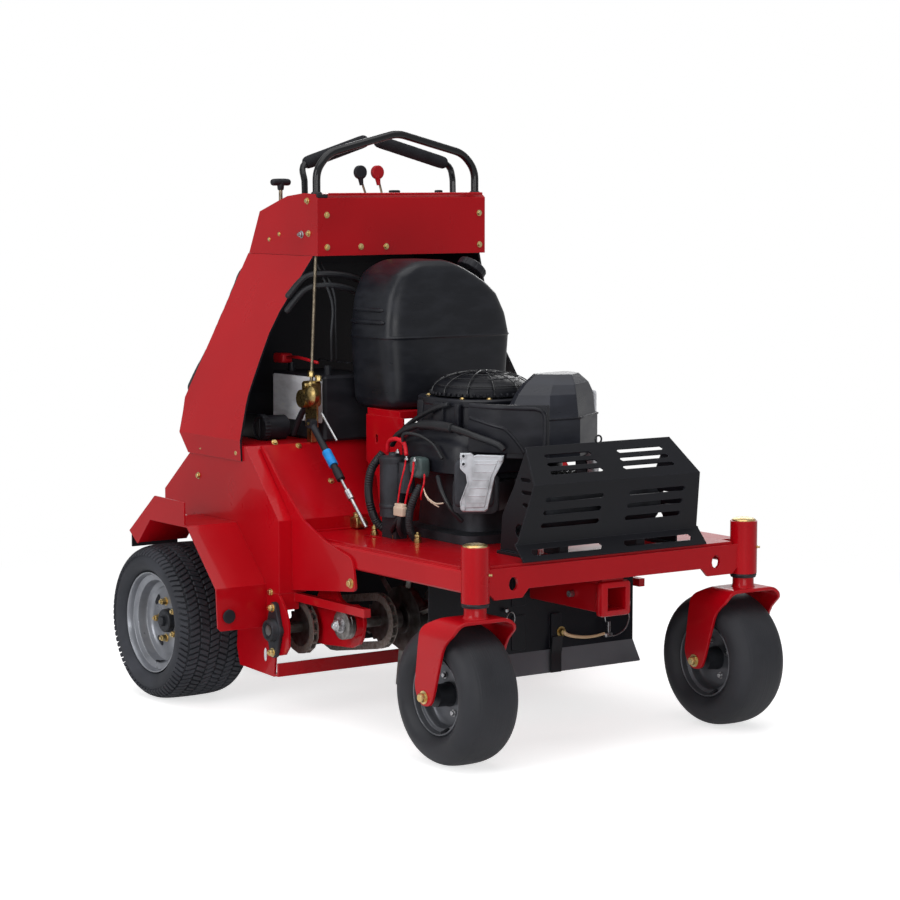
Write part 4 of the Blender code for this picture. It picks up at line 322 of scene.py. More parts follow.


# The second colour of each paint is the pale tint of its painted edge highlight.
RED_PAINT = gloss_paint("gloss_red", seen(190, 6, 22), seen(226, 84, 92))
BLACK_PAINT = powder_coat("powder_black", seen(14, 15, 21), seen(84, 86, 94))
BAR_PAINT = gloss_paint("gloss_black", seen(18, 19, 23), seen(78, 80, 86), 0.25, 0.5)
BLACK_PLASTIC = moulded("moulded_black", seen(24, 25, 31))
HOUSING_PLASTIC = moulded("housing_black", seen(24, 25, 32), 0.36, 700, 0.00004)
CLEANER_PLASTIC = moulded("cleaner_black", seen(38, 40, 48), 0.32, 700, 0.00004)
# Painted reflection: light grey for the black toe of the front shield, standing for the floor's
# light on its slope.
TOE_PAINTED_REFLECTION = powder_coat("toe_painted_reflection", seen(92, 94, 99), seen(150, 151, 156), 0.3)
TANK_PLASTIC = moulded("tank_black", seen(25, 27, 33), 0.34, 420, 0.00005)
RED_PLASTIC = moulded("moulded_red", seen(176, 16, 28), 0.4)
LABEL_GREY = moulded("label_grey", seen(226, 228, 233), 0.5)
BEIGE_PLASTIC = moulded("connector_beige", seen(206, 184, 164), 0.5)
SOLENOID_GREY = moulded("solenoid_grey", seen(74, 88, 88), 0.35)
BLUE_BAND = moulded("blue_band", seen(24, 132, 208), 0.4)
FRONT_RUBBER = rubber("caster_rubber", seen(36, 37, 42), seen(54, 55, 60), 0.55)
REAR_RUBBER = rubber("turf_rubber", seen(44, 46, 52), seen(74, 76, 83), 0.7)
HOSE_RUBBER = rubber("hose_rubber", seen(24, 25, 29), seen(44, 46, 51), 0.45)
RED_WIRE = moulded("red_wire", seen(206, 16, 34), 0.38)
GRIP_FOAM = foam("grip_foam", seen(24, 25, 29))
PAD_VINYL = vinyl("pad_vinyl", seen(26, 27, 32))
# The second colour of each rim paint is the tint of its painted highlight on rolled edges.
SILVER_RIM = painted_rim("rim_silver_paint", seen(150, 153, 160), seen(226, 229, 234))
CASTER_RIM_PAINT = painted_rim("caster_rim_paint", seen(100, 102, 108), seen(176, 178, 184))
ZINC_GOLD = plated("yellow_zinc", seen(220, 184, 116), seen(196, 184, 140))
BRASS = plated("brass", seen(186, 164, 112), seen(146, 124, 78), 0.3, 60)
DULL_ROD = plated("dull_rod", seen(148, 136, 118), seen(112, 102, 88), 0.36, 70)
STEEL = plated("bright_steel", seen(190, 190, 192), seen(150, 150, 154))
DARK_STEEL = plated("dark_steel", seen(150, 148, 146), seen(96, 92, 90), 0.34, 50)
WORN_STEEL = plated("worn_steel", seen(120, 118, 118), seen(84, 78, 74), 0.4, 40)
ALUMINIUM = cast_metal("die_cast", seen(204, 207, 213), 0.42, 0.3, 0.00012)
CAST_IRON = cast_metal("cast_iron", seen(52, 54, 60), 0.5, 0.5)
CHAIN = oiled_chain("oiled_chain", seen(150, 146, 142), seen(112, 100, 92))
TAN_LEVER = moulded("latch_tan", seen(206, 176, 140), 0.5)
# The record's slot of each finish. The first of a row is the slot's own finish,
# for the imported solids; the others are for single solids and added pieces.

SLOTS = {
    "red_paint": (RED_PAINT,),
    "black_paint": (BLACK_PAINT, BAR_PAINT),
    "black_plastic": (BLACK_PLASTIC, HOUSING_PLASTIC, CLEANER_PLASTIC, TANK_PLASTIC,
                      SOLENOID_GREY, BLUE_BAND, HOSE_RUBBER),
    "red_plastic": (RED_PLASTIC, RED_WIRE),
    "grip_rubber": (GRIP_FOAM,),
    "pad_cover": (PAD_VINYL,),
    "tyre": (REAR_RUBBER, FRONT_RUBBER),
    "rim_silver": (SILVER_RIM, CASTER_RIM_PAINT),
    "bare_steel": (WORN_STEEL, STEEL, DARK_STEEL),
    "chain_steel": (CHAIN,),
    "cast_iron": (CAST_IRON,),
    "aluminium": (ALUMINIUM, LABEL_GREY, BEIGE_PLASTIC),
    "gold_zinc": (ZINC_GOLD, BRASS, DULL_ROD, TAN_LEVER)}


# Shapes: points worked out as whole arrays, and the faces between them.

ORIGIN = (0, 0, 0)


def angles(count):
    """Even steps round a circle."""
    return np.arange(count) * TAU / count


def soft(q, power):
    """Signed power: the lower the power, the squarer a round section becomes."""
    return np.sign(q) * np.abs(q) ** power


def outward(verts, faces):
    """The faces turned over where the volume they enclose, the sum of the
    tetrahedra from the origin to each triangle, comes out negative."""
    volume = 0.0
    for face in faces:
        for k in range(1, face.shape[1] - 1):
            across = np.cross(verts[face[:, k]], verts[face[:, k + 1]])
            volume += np.einsum("ij,ij->", verts[face[:, 0]], across)
    return verts, [face[:, ::-1] for face in faces] if volume < 0 else faces


def lattice(points, along=False):
    """A skin over a grid points[i, j]: quads between neighbours, closed in j, and
    in i when along; each open end gets one flat face."""
    rows, columns = points.shape[:2]
    index = np.arange(rows * columns).reshape(rows, columns)
    net = np.vstack([index, index[:1]]) if along else index
    net = np.hstack([net, net[:, :1]])
    quads = np.stack([net[:-1, :-1], net[:-1, 1:], net[1:, 1:], net[1:, :-1]], -1)
    faces = [quads.reshape(-1, 4)]
    if not along:
        faces += [index[:1, ::-1], index[-1:, :]]
    return outward(points.reshape(-1, 3), faces)


def joined(*shapes):
    """Several shapes as one."""
    faces, start = [], 0
    for verts, parts in shapes:
        faces += [part + start for part in parts]
        start += len(verts)
    return np.vstack([verts for verts, _ in shapes]), faces


def unit(vectors):
    """The vectors at length one."""
    return vectors / np.linalg.norm(vectors, axis=-1, keepdims=True)


def basis(direction, up=Z):
    """Side, lift and direction as the columns of a turning matrix."""
    direction = unit(np.asarray(direction, float))
    if abs(direction @ up) > 0.95:
        up = X
    side = unit(np.cross(up, direction))
    return np.stack([side, np.cross(direction, side), direction], -1)


def copies(shape, places, direction, up=Z, size=1.0):
    """The shape at each place: place + size * (turning matrix) * corner."""
    verts, faces = shape
    places = np.atleast_2d(np.asarray(places, float))
    directions = np.broadcast_to(np.asarray(direction, float), places.shape)
    turns = np.stack([basis(d, up) for d in directions])
    points = size * np.einsum("kij,nj->kni", turns, verts) + places[:, None]
    shift = len(verts) * np.arange(len(places))[:, None, None]
    return points.reshape(-1, 3), [(face + shift).reshape(-1, face.shape[1]) for face in faces]


def spline(points, count):
    """Catmull-Rom curve: between two points, the cubic that passes both with
    the slope of the line between each one's neighbours."""
    points = np.asarray(points, float)
    t = np.linspace(0, len(points) - 1, count)
    i = np.minimum(t.astype(int), len(points) - 2)
    u = (t - i)[:, None]
    p0, p1, p2, p3 = (points[np.clip(i + k, 0, len(points) - 1)] for k in (-1, 0, 1, 2))
    return 0.5 * (2 * p1 + (p2 - p0) * u + (2 * p0 - 5 * p1 + 4 * p2 - p3) * u ** 2
                  + (3 * p1 - p0 - 3 * p2 + p3) * u ** 3)


def pipe(path, radius, sides=10):
    """A circle carried along a path, square to it:
    centre + radius * (cos a * side + sin a * lift)."""
    path = np.asarray(path, float)
    run = unit(np.gradient(path, axis=0))
    away = np.eye(3)[np.argmin(np.abs(run).max(0))]
    side = unit(np.cross(run, away))
    lift = np.cross(side, run)
    a = angles(sides)
    radius = np.broadcast_to(np.asarray(radius, float), len(path))[:, None, None]
    ring = np.cos(a)[None, :, None] * side[:, None] + np.sin(a)[None, :, None] * lift[:, None]
    return lattice(path[:, None] + radius * ring)


def hose(points, radius, count=28, sides=10):
    """A pipe along the smooth curve through a few points, its ends drawn in."""
    shape = np.full(count, float(radius))
    shape[[0, -1]] *= 0.7
    return pipe(spline(points, count), shape, sides)


def turned(profile, centre, axis, steps=32, closed=False):
    """A profile of (distance along the axis, radius) turned about the axis:
    centre + distance * axis + radius * (cos a * side + sin a * lift)."""
    profile = np.asarray(profile, float)
    side, lift, out = basis(axis).T
    a = angles(steps)
    ring = np.cos(a)[:, None] * side + np.sin(a)[:, None] * lift
    points = profile[:, 0, None, None] * out + profile[:, 1, None, None] * ring[None]
    return lattice(points + np.asarray(centre, float), along=closed)


def pillow(half, power=0.3, rows=12, columns=24):
    """A box with rounded edges: each half side times the signed power of the
    sphere's cosines and sines; the poles are left open by a small share."""
    u = np.linspace(-0.5, 0.5, rows) * math.pi * 0.985
    v = angles(columns)
    points = np.stack([soft(np.cos(u), power)[:, None] * soft(np.cos(v), power),
                       soft(np.cos(u), power)[:, None] * soft(np.sin(v), power),
                       soft(np.sin(u), power)[:, None] * np.ones(columns)], -1)
    return lattice(points * np.asarray(half, float))


def block(centre, half, out=Z, power=0.3, rows=12, columns=24):
    """A pillow at a place; its third half side lies along out. Where out is up,
    the first two lie along X and Y."""
    return copies(pillow(half, power, rows, columns), [centre], out, Y if out is Z else Z)


def prism(plan, levels):
    """A plan (x, y) stood up through levels of (z, share): at each level the
    plan is drawn towards its middle by the share."""
    plan = np.asarray(plan, float)
    middle = plan.mean(0)
    return lattice(np.stack([np.column_stack([middle + (plan - middle) * k, np.full(len(plan), z)])
                             for z, k in levels]))


def plate(outline, thickness, edge=0.0006):
    """A flat plate from its outline (x, y), thickness along z, with the edge
    drawn in at both faces."""
    outline = np.asarray(outline, float)
    drawn = 1 - edge / np.linalg.norm(outline - outline.mean(0), axis=1).mean()
    return prism(outline, [(0.0, drawn), (edge, 1.0), (thickness - edge, 1.0), (thickness, drawn)])


def slab(x, y, z, ease, share=0.999):
    """A sheet between two values along each axis, its two ends along Z eased."""
    return prism([(x[0], y[0]), (x[1], y[0]), (x[1], y[1]), (x[0], y[1])],
                 [(z[0], share), (z[0] + ease, 1.0), (z[1] - ease, 1.0), (z[1], share)])


def rod(start, end, radius, count=9, sides=12):
    """A straight pipe between two points."""
    return pipe(np.linspace(start, end, count), radius, sides)


def hex_bolt(washer=1.5, height=0.9, stud=0.0):
    """A unit hexagon head on its washer, chamfered on top, with a stud end. The
    hexagon's radius is cos 30 / cos(angle from the nearest flat)."""
    a = angles(12)
    flat = math.cos(math.pi / 6) / np.cos(np.mod(a, TAU / 6) - math.pi / 6)
    top = 0.17 + height
    levels = [(0.0, washer, 0), (0.16, washer, 0), (0.17, 1.0, 1), (0.17 + 0.8 * height, 1.0, 1),
              (top, 0.8, 0)] + ([(top, 0.55, 0), (top + stud, 0.5, 0)] if stud else [])
    return lattice(np.stack([np.column_stack([r * (flat if k else 1.0) * np.cos(a),
                                              r * (flat if k else 1.0) * np.sin(a),
                                              np.full(12, z)]) for z, r, k in levels]))


def bolts(places, out, size, washer=1.35, height=0.7, stud=0.0):
    """The same bolt at several places."""
    return copies(hex_bolt(washer, height, stud), places, out, size=size)


def in_plane(x, places):
    """Places (y, z) in the plane at x."""
    return np.column_stack([np.full(len(places), x), places])


def on_circle(count, start, radius):
    """Points round an axle along X: (0, radius * sin a, radius * cos a)."""
    a = angles(count) + start
    return radius * np.column_stack([0 * a, np.sin(a), np.cos(a)])


def arc_points(centre, radius, start, end, count):
    """Points on an arc between two angles in degrees."""
    a = np.radians(np.linspace(start, end, count))
    return np.column_stack([centre[0] + radius * np.cos(a), centre[1] + radius * np.sin(a)])


def rounded_plan(half_x, half_y, radius, count):
    """A rectangle with an arc at each corner, from the middles of the arcs."""
    middles = ((half_x, half_y), (-half_x, half_y), (-half_x, -half_y), (half_x, -half_y))
    return np.vstack([arc_points(middle, radius, 90 * k, 90 * k + 90, count)
                      for k, middle in enumerate(middles)])


def slot_plan(half_x, radius, count):
    """A long hole: a half circle at each end."""
    return np.vstack([arc_points((half_x, 0), radius, -90, 90, count),
                      arc_points((-half_x, 0), radius, 90, 270, count)])


def bent(points, radius, steps=8):
    """A path of straight runs with each corner eased: between the two points
    radius away from it, (1-t)^2 * from + 2t(1-t) * corner + t^2 * to."""
    points = np.asarray(points, float)
    corner = points[1:-1]
    before = corner + unit(points[:-2] - corner) * radius
    after = corner + unit(points[2:] - corner) * radius
    t = np.linspace(0, 1, steps)[None, :, None]
    curve = ((1 - t) ** 2 * before[:, None] + 2 * t * (1 - t) * corner[:, None]
             + t ** 2 * after[:, None])
    return np.vstack([points[:1], curve.reshape(-1, 3), points[-1:]])


def moved(shape, offset):
    """The shape shifted."""
    return shape[0] + np.asarray(offset), shape[1]


def piece(name, body, shape, finish, replaces=(), crease=34):
    """Puts a shape into the scene as one piece that rides on a body."""
    verts, faces = moved(shape, (0.0, STEM_Y, 0.0))
    mesh = bpy.data.meshes.new(name)
    mesh.vertices.add(len(verts))
    mesh.vertices.foreach_set("co", verts.astype(np.float32).ravel())
    corners = np.concatenate([face.ravel() for face in faces]).astype(np.int32)
    sizes = np.concatenate([np.full(len(face), face.shape[1]) for face in faces])
    mesh.loops.add(len(corners))
    mesh.loops.foreach_set("vertex_index", corners)
    mesh.polygons.add(len(sizes))
    starts = np.append(0, np.cumsum(sizes)[:-1]).astype(np.int32)
    mesh.polygons.foreach_set("loop_start", starts)
    mesh.update(calc_edges=True)
    mesh.validate()
    return dressed(name, body, mesh, finish, replaces, crease)


def fixed(name, shape, finish, replaces=(), crease=34):
    """A piece that rides on the chassis."""
    return piece(name, "chassis", shape, finish, replaces, crease)


def dressed(name, body, mesh, finish, replaces=(), crease=34):
    """Shades a mesh smooth up to the crease angle and hands it to its body."""
    mesh.polygons.foreach_set("use_smooth", np.ones(len(mesh.polygons), bool))
    mesh.set_sharp_from_angle(angle=math.radians(crease))
    mesh.materials.clear()
    mesh.materials.append(finish)
    made = added(name, mesh)
    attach(made, body)
    if replaces:
        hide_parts(*replaces)
    return made


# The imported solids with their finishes. Each is copied with its triangles
# joined, so that tubes and rolled edges shade round, and stands for its node.

MERGE, FLAT = 1e-5, math.radians(0.4)
SKIN_CREASE = 31
NODE_FINISH = {
    "drive_lever_left": BAR_PAINT, "drive_lever_right": BAR_PAINT, "hitch_pin": STEEL,
    "link_rod": STEEL, "hydraulic_valve": BRASS, "wheel_motor_left": CAST_IRON,
    "wheel_motor_right": CAST_IRON}
REMADE = {name + side for side in ("_left", "_right") for name in (
    "drive_tyre", "drive_rim", "caster_tyre", "caster_rim", "caster_fork", "grip", "cylinder",
    "bearing")} | {"fuel_tank", "fan_screen", "thigh_pad", "blower_housing", "fuel_cap",
                   "air_cleaner", "pull_handle"}


def joined_copy(node):
    """The node's triangles merged into one mesh, flat faces made whole."""
    mesh = frame["nodes"][node].data.copy()
    made = bmesh.new()
    made.from_mesh(mesh)
    bmesh.ops.remove_doubles(made, verts=made.verts, dist=MERGE)
    bmesh.ops.dissolve_limit(made, angle_limit=FLAT, verts=made.verts, edges=made.edges)
    made.to_mesh(mesh)
    made.free()
    if mesh.attributes.get("custom_normal"):
        mesh.attributes.remove(mesh.attributes["custom_normal"])
    return mesh


def inside_tower(middle, normal):
    """Faces of the tower sheet that look inwards. Their black stands partly for dark parts behind
    and partly is painted shade of the deep interior.
    """
    return (np.sign(middle[:, 0]) * normal[:, 0] < -0.3) | (normal[:, 1] < -0.3)


def toe_reflection_faces(middle, normal):
    """The slope of the front shield's toe, given a light grey over the shield's black as a painted
    reflection of the floor.
    """
    return (middle[:, 2] < 0.178) & (normal[:, 2] > 0.2)


SECOND_FINISH = {
    "hydraulic_valve": (DULL_ROD, lambda middle, normal: middle[:, 2] > 0.838),
    # Painted reflection of the floor on the toe's slope.
    "front_shield": (TOE_PAINTED_REFLECTION, toe_reflection_faces),
    # Tower's inner faces in black: partly dark parts behind, partly painted shade.
    "tower": (BLACK_PAINT, inside_tower),
    "console": (BAR_PAINT, lambda middle, normal: middle[:, 2] > 1.2445),
    "throttle_lever": (DULL_ROD, lambda middle, normal: middle[:, 2] < 1.276),
    "choke_lever": (DULL_ROD, lambda middle, normal: middle[:, 2] < 1.276)}


def shade_again(mesh, finish, chosen):
    """Gives the faces that a rule picks, by middle and normal, a second finish."""
    middle, normal = np.empty((2, len(mesh.polygons) * 3))
    mesh.polygons.foreach_get("center", middle)
    mesh.polygons.foreach_get("normal", normal)
    picked = chosen(middle.reshape(-1, 3), normal.reshape(-1, 3))
    mesh.materials.append(finish)
    mesh.polygons.foreach_set("material_index", picked.astype(np.int32))


for part in frame["record"]["subparts"]:
    node, slot = part["node"], part["material_slot"]
    finish = NODE_FINISH.get(node, SLOTS[slot][0])
    own = frame["nodes"][node]
    own.data.materials.clear()
    own.data.materials.append(finish)
    if node not in REMADE:
        skin = dressed(node + "_skin", own["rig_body"], joined_copy(node), finish, (node,),
                       SKIN_CREASE)
        if node in SECOND_FINISH:
            shade_again(skin.data, *SECOND_FINISH[node])


# Drive wheels.

WHEELBASE, DRIVE_X, DRIVE_R = 1.098, 0.493, 0.1915
TREAD = 0.0062
drive_half = np.array([(0.0, DRIVE_R - TREAD), (0.03, DRIVE_R - TREAD - 0.0004), (0.056, 0.1838),
                       (0.074, 0.181), (0.086, 0.1755), (0.0945, 0.1665), (0.0988, 0.1545),
                       (0.0982, 0.144), (0.0945, 0.135), (0.088, 0.129), (0.079, 0.126)])


def ring_profile(half, inner, count):
    """A closed tyre section: the half section, its mirror and the bore."""
    right = spline(half, count)
    left = (right * (-1, 1))[::-1][:-1]
    return np.vstack([left, right, np.array([(inner[0], inner[1]), (-inner[0], inner[1])])])


def tread_blocks(half, rows, columns, pitch, reach, height, wave):
    """Tread blocks laid on the tyre: a point v across and u round lies on the
    section at arc v, turned by u / radius, raised along the section's normal."""
    fine = spline(half, 200)
    arc = np.append(0, np.cumsum(np.linalg.norm(np.diff(fine, axis=0), axis=1)))
    slope = unit(np.gradient(fine, axis=0))
    normal = np.column_stack([-slope[:, 1], slope[:, 0]])
    t = np.linspace(-1, 1, 5)
    low, high = -0.38 * (1 - 0.15 * t ** 2), 0.38 * (1 - 0.15 * t ** 2)
    outline = np.vstack([np.column_stack([t, high]), np.column_stack([t[::-1], low[::-1]])])
    blocks = []
    for k, (place, length) in enumerate(zip(columns, reach)):
        turn = 1 if k % 2 else -1
        v = place + outline[:, 0] * length
        u = outline[:, 1] * pitch + turn * wave * np.sin(outline[:, 0] * math.pi * 0.5)
        rings = np.stack([np.column_stack([u * s, (v - place) * s + place, np.full(len(v), h)])
                          for h, s in ((-0.002, 1.04), (height * 0.75, 1.0), (height, 0.86))])
        angle = (np.arange(rows) + 0.5 * (k % 2)) * TAU / rows
        u, v, h = (rings[None, ..., c] for c in range(3))
        s = np.abs(v)
        x = np.sign(v) * (np.interp(s, arc, fine[:, 0]) + h * np.interp(s, arc, normal[:, 0]))
        r = np.interp(s, arc, fine[:, 1]) + h * np.interp(s, arc, normal[:, 1])
        a = angle[:, None, None] + u / half[0, 1]
        points = np.stack(np.broadcast_arrays(x, r * np.sin(a), r * np.cos(a)), -1)
        one = lattice(points[0])[1]
        count = points[0].shape[0] * points[0].shape[1]
        shift = count * np.arange(rows)[:, None, None]
        blocks.append((points.reshape(-1, 3),
                       [(f[None] + shift).reshape(-1, f.shape[1]) for f in one]))
    return joined(*blocks)


DRIVE_SECTION = ring_profile(drive_half, (0.058, 0.1195), 34)
COLUMNS = [-0.0915, -0.066, -0.0396, -0.0132, 0.0132, 0.0396, 0.066, 0.0915]
REACH = [0.0105, 0.0118, 0.0118, 0.0118, 0.0118, 0.0118, 0.0118, 0.0105]
TURF = tread_blocks(drive_half, 76, COLUMNS, 0.0156, REACH, TREAD, 0.004)
DRIVE_RIM = [(0.085, 0.1245), (0.0863, 0.1232), (0.0857, 0.1212), (0.0815, 0.119), (0.075, 0.118),
             (0.0705, 0.1168), (0.0688, 0.114), (0.068, 0.106), (0.066, 0.1028), (0.06, 0.1012),
             (0.048, 0.1004), (0.043, 0.0985), (0.0412, 0.095), (0.04, 0.088), (0.0385, 0.0856),
             (0.036, 0.0842), (0.0348, 0.0815), (0.0345, 0.07), (0.0352, 0.034), (0.0352, 0.03),
             (0.03, 0.03), (0.03, 0.08), (0.033, 0.089), (0.04, 0.103), (0.044, 0.108),
             (0.01, 0.109), (-0.06, 0.11), (-0.07, 0.118), (-0.0748, 0.1232), (-0.0735, 0.1245),
             (-0.069, 0.122), (-0.06, 0.118), (-0.04, 0.115), (0.06, 0.116), (0.074, 0.12),
             (0.08, 0.1235)]
LUG_CIRCLE, LUG_COUNT, HUB_FACE, SLOT_CIRCLE = 0.048, 5, 0.035, 0.072
DISC_SLOT = plate(slot_plan(0.01, 0.0058, 8), 0.0016)
DRIVE_HUB = [(-0.01, 0.0295), (0.0, 0.0295), (0.014, 0.0285), (0.0165, 0.0262), (0.0168, 0.013),
             (0.024, 0.0125), (0.0262, 0.0105), (0.0262, 0.001)]
DRIVE_VALVE = [(0, 0.0042), (0.012, 0.004), (0.014, 0.0028), (0.026, 0.0027), (0.028, 0.0018)]

for side, s in SIDES:
    body, out = "drive_wheel_" + side, (s, 0, 0)
    centre = np.array((s * DRIVE_X, WHEELBASE, DRIVE_R))
    face = centre + (s * HUB_FACE, 0, 0)
    piece("turf_tyre_" + side, body, turned(DRIVE_SECTION, centre, out, 128, closed=True),
          REAR_RUBBER, ("drive_tyre_" + side,), 50)
    tread = outward(TURF[0] * (s, 1, 1) + centre, TURF[1])
    piece("turf_tread_" + side, body, tread, REAR_RUBBER, crease=30)
    piece("wheel_disc_" + side, body, turned(DRIVE_RIM, centre, out, 96, closed=True), SILVER_RIM,
          ("drive_rim_" + side,), 40)
    nuts = bolts(face + on_circle(LUG_COUNT, 0.31, LUG_CIRCLE), out, 0.0085, 1.25, 1.5, 0.5)
    piece("lug_nuts_" + side, body, nuts, ZINC_GOLD)
    piece("wheel_hub_" + side, body, turned(DRIVE_HUB, face, out, 36), CAST_IRON)
    # Painted shade: black ovals laid on the dish stand for its slots, dark inside.
    slots = [copies(DISC_SLOT, [face - (s * 0.0004, 0, 0) + SLOT_CIRCLE * spoke], out, up=spoke)
             for spoke in on_circle(4, 0.9, 1.0)]
    piece("disc_slots_" + side, body, joined(*slots), BLACK_PLASTIC)
    valve = turned(DRIVE_VALVE, centre + (s * 0.046, 0.0, -0.104), (s, 0, 0.25), 12)
    piece("tyre_valve_" + side, body, valve, HOSE_RUBBER)


# Caster wheels.

CASTER_X, CASTER_Y, CASTER_R = 0.384, 0.069, 0.158
caster_half = np.array([(0.0, 0.1578), (0.022, 0.1571), (0.04, 0.1545), (0.054, 0.1485),
                        (0.0645, 0.1395), (0.071, 0.1275), (0.0728, 0.116), (0.07, 0.105),
                        (0.063, 0.0965), (0.055, 0.0905), (0.049, 0.088)])


def ribbed(section, width, pitch, depth):
    """The tyre's rings: radius less depth where the groove wave dips below zero,
    over the middle of the tread."""
    x, r = section.T
    wave = np.clip(np.cos(TAU * x / pitch) - 0.2, -1, 0) * depth
    return np.column_stack([x, r + wave * (np.abs(x) < width) * (r > 0.12)])


smooth_section = ring_profile(caster_half, (0.044, 0.085), 90)
CASTER_SECTION = ribbed(smooth_section, 0.047, 0.0052, 0.0007)
caster_rim = [(0.056, 0.088), (0.0572, 0.0868), (0.0568, 0.0848), (0.053, 0.0832), (0.048, 0.0824),
              (0.044, 0.081), (0.0424, 0.074), (0.04, 0.0722), (0.033, 0.0712), (0.025, 0.07),
              (0.0215, 0.067), (0.02, 0.06), (0.02, 0.026), (0.0, 0.026)]
CASTER_RIM = caster_rim + [(-x, r) for x, r in caster_rim[::-1][1:]] + [
    (-0.054, 0.0895), (-0.044, 0.0868), (0.044, 0.0868), (0.054, 0.0895)]
CASTER_HUB = [(-0.062, 0.018), (-0.06, 0.0245), (-0.03, 0.0255), (-0.026, 0.0275), (0.026, 0.0275),
              (0.03, 0.0255), (0.06, 0.0245), (0.062, 0.018)]
CASTER_VALVE = [(0, 0.0038), (0.01, 0.0036), (0.012, 0.0026), (0.022, 0.0024), (0.024, 0.0016)]

for side, s in SIDES:
    body = "caster_wheel_" + side
    centre = np.array((s * CASTER_X, CASTER_Y, CASTER_R))
    piece("caster_tyre_tread_" + side, body, turned(CASTER_SECTION, centre, X, 112, closed=True),
          FRONT_RUBBER, ("caster_tyre_" + side,), 50)
    piece("caster_disc_" + side, body, turned(CASTER_RIM, centre, X, 72, closed=True),
          CASTER_RIM_PAINT, ("caster_rim_" + side,), 40)
    piece("caster_hub_" + side, body, turned(CASTER_HUB, centre, X, 36), CAST_IRON)
    for k, end in enumerate((-1, 1)):
        ring = centre + (end * 0.0202, 0, 0) + on_circle(4, 0.4, 0.043)
        piece(f"caster_disc_bolts_{side}_{k}", body, bolts(ring, (end, 0, 0), 0.0062, 1.3, 0.9),
              STEEL)
    valve = turned(CASTER_VALVE, centre + (-0.043, -0.03, -0.071), (-1, -0.1, -0.2), 12)
    piece("caster_valve_" + side, body, valve, HOSE_RUBBER)


# Caster forks: strap, spindle, axle bolts, stem caps, grease nipples.

NIPPLE = turned([(0, 1.0), (0.5, 1.0), (0.55, 0.62), (1.3, 0.58), (1.5, 0.8), (1.9, 0.78),
                 (2.1, 0.3)], ORIGIN, Z, 14)
NIPPLE_OUT = unit(np.array((0.59, -0.81, 0.0)))
AXLE_HEAD, STEM_TUBE_R, STEM_CAP_R, STEM_CAP_RISE = 0.088, 0.0315, 0.0285, 0.0075

FORK_OUTER, FORK_GAUGE, FORK_CROWN, FORK_BEND, FORK_EDGE = 0.088, 0.008, 0.334, 0.04, 0.0014
FORK_FRONT = np.array([(0.1395, 0.06), (0.1405, 0.054), (0.144, 0.047), (0.15, 0.0415),
                       (0.16, 0.037), (0.172, 0.032), (0.265, 0.0015), (0.28, -0.007),
                       (0.293, -0.02), (0.305, -0.0335), (0.316, -0.039), (0.334, -0.04)])
FORK_BACK = np.array([(0.1395, 0.072), (0.1405, 0.078), (0.144, 0.084), (0.15, 0.091),
                      (0.16, 0.0985), (0.172, 0.1035), (0.185, 0.105), (0.27, 0.093),
                      (0.293, 0.089), (0.305, 0.086), (0.316, 0.079), (0.334, 0.046)])


def fork_strap():
    """A strap over the wheel. Its outer line runs up one leg, round a quarter
    circle, over the crown and down the same way; at height z it reaches from
    front(z) to back(z), one gauge thick, with its four edges cut back."""
    leg = np.union1d(FORK_FRONT[:, 0], FORK_BACK[:, 0])
    leg = leg[leg < FORK_CROWN - FORK_BEND]
    t = np.linspace(0, 0.5 * math.pi, 11)
    middle = FORK_OUTER - FORK_BEND
    x = np.concatenate([np.full(len(leg), FORK_OUTER), middle + FORK_BEND * np.cos(t),
                        [middle * 0.5]])
    z = np.concatenate([leg, FORK_CROWN - FORK_BEND + FORK_BEND * np.sin(t), [FORK_CROWN]])
    out_x = np.concatenate([np.ones(len(leg)), np.cos(t), [0.0]])
    out_z = np.concatenate([np.zeros(len(leg)), np.sin(t), [1.0]])
    x, z = np.append(x, -x[::-1]), np.append(z, z[::-1])
    out_x, out_z = np.append(out_x, -out_x[::-1]), np.append(out_z, out_z[::-1])
    front, back = np.interp(z, *FORK_FRONT.T), np.interp(z, *FORK_BACK.T)
    e, g = FORK_EDGE, FORK_GAUGE
    deep = np.array([0, 0, e, g - e, g, g, g - e, e])
    y = np.stack([front + e, back - e, back, back, back - e, front + e, front, front], 1)
    return lattice(np.stack([x[:, None] - out_x[:, None] * deep, y,
                             z[:, None] - out_z[:, None] * deep], -1))


FORK_STRAP = fork_strap()
FORK_BOSS = turned([(0.332, 0.03), (0.336, 0.0268), (0.342, 0.0248), (0.3655, 0.0245)], ORIGIN, Z,
                   40)
FORK_SHAFTS = joined(turned([(0.33, 0.017), (0.474, 0.017), (0.476, 0.015)], ORIGIN, Z, 24),
                     turned([(-0.088, 0.008), (0.088, 0.008)], (0, CASTER_Y, CASTER_R), X, 20))
cap_turn = np.linspace(0, 1.45, 8)[1:]
STEM_CAP = np.vstack([[(-0.006, 0.0262), (0.0, STEM_CAP_R)],
                      np.column_stack([STEM_CAP_RISE * np.sin(cap_turn),
                                       STEM_CAP_R * np.cos(cap_turn)])])
STEM_SEAL = [(0.0, 0.024), (0.0, 0.03), (-0.0035, 0.031), (-0.009, 0.029), (-0.0095, 0.024)]

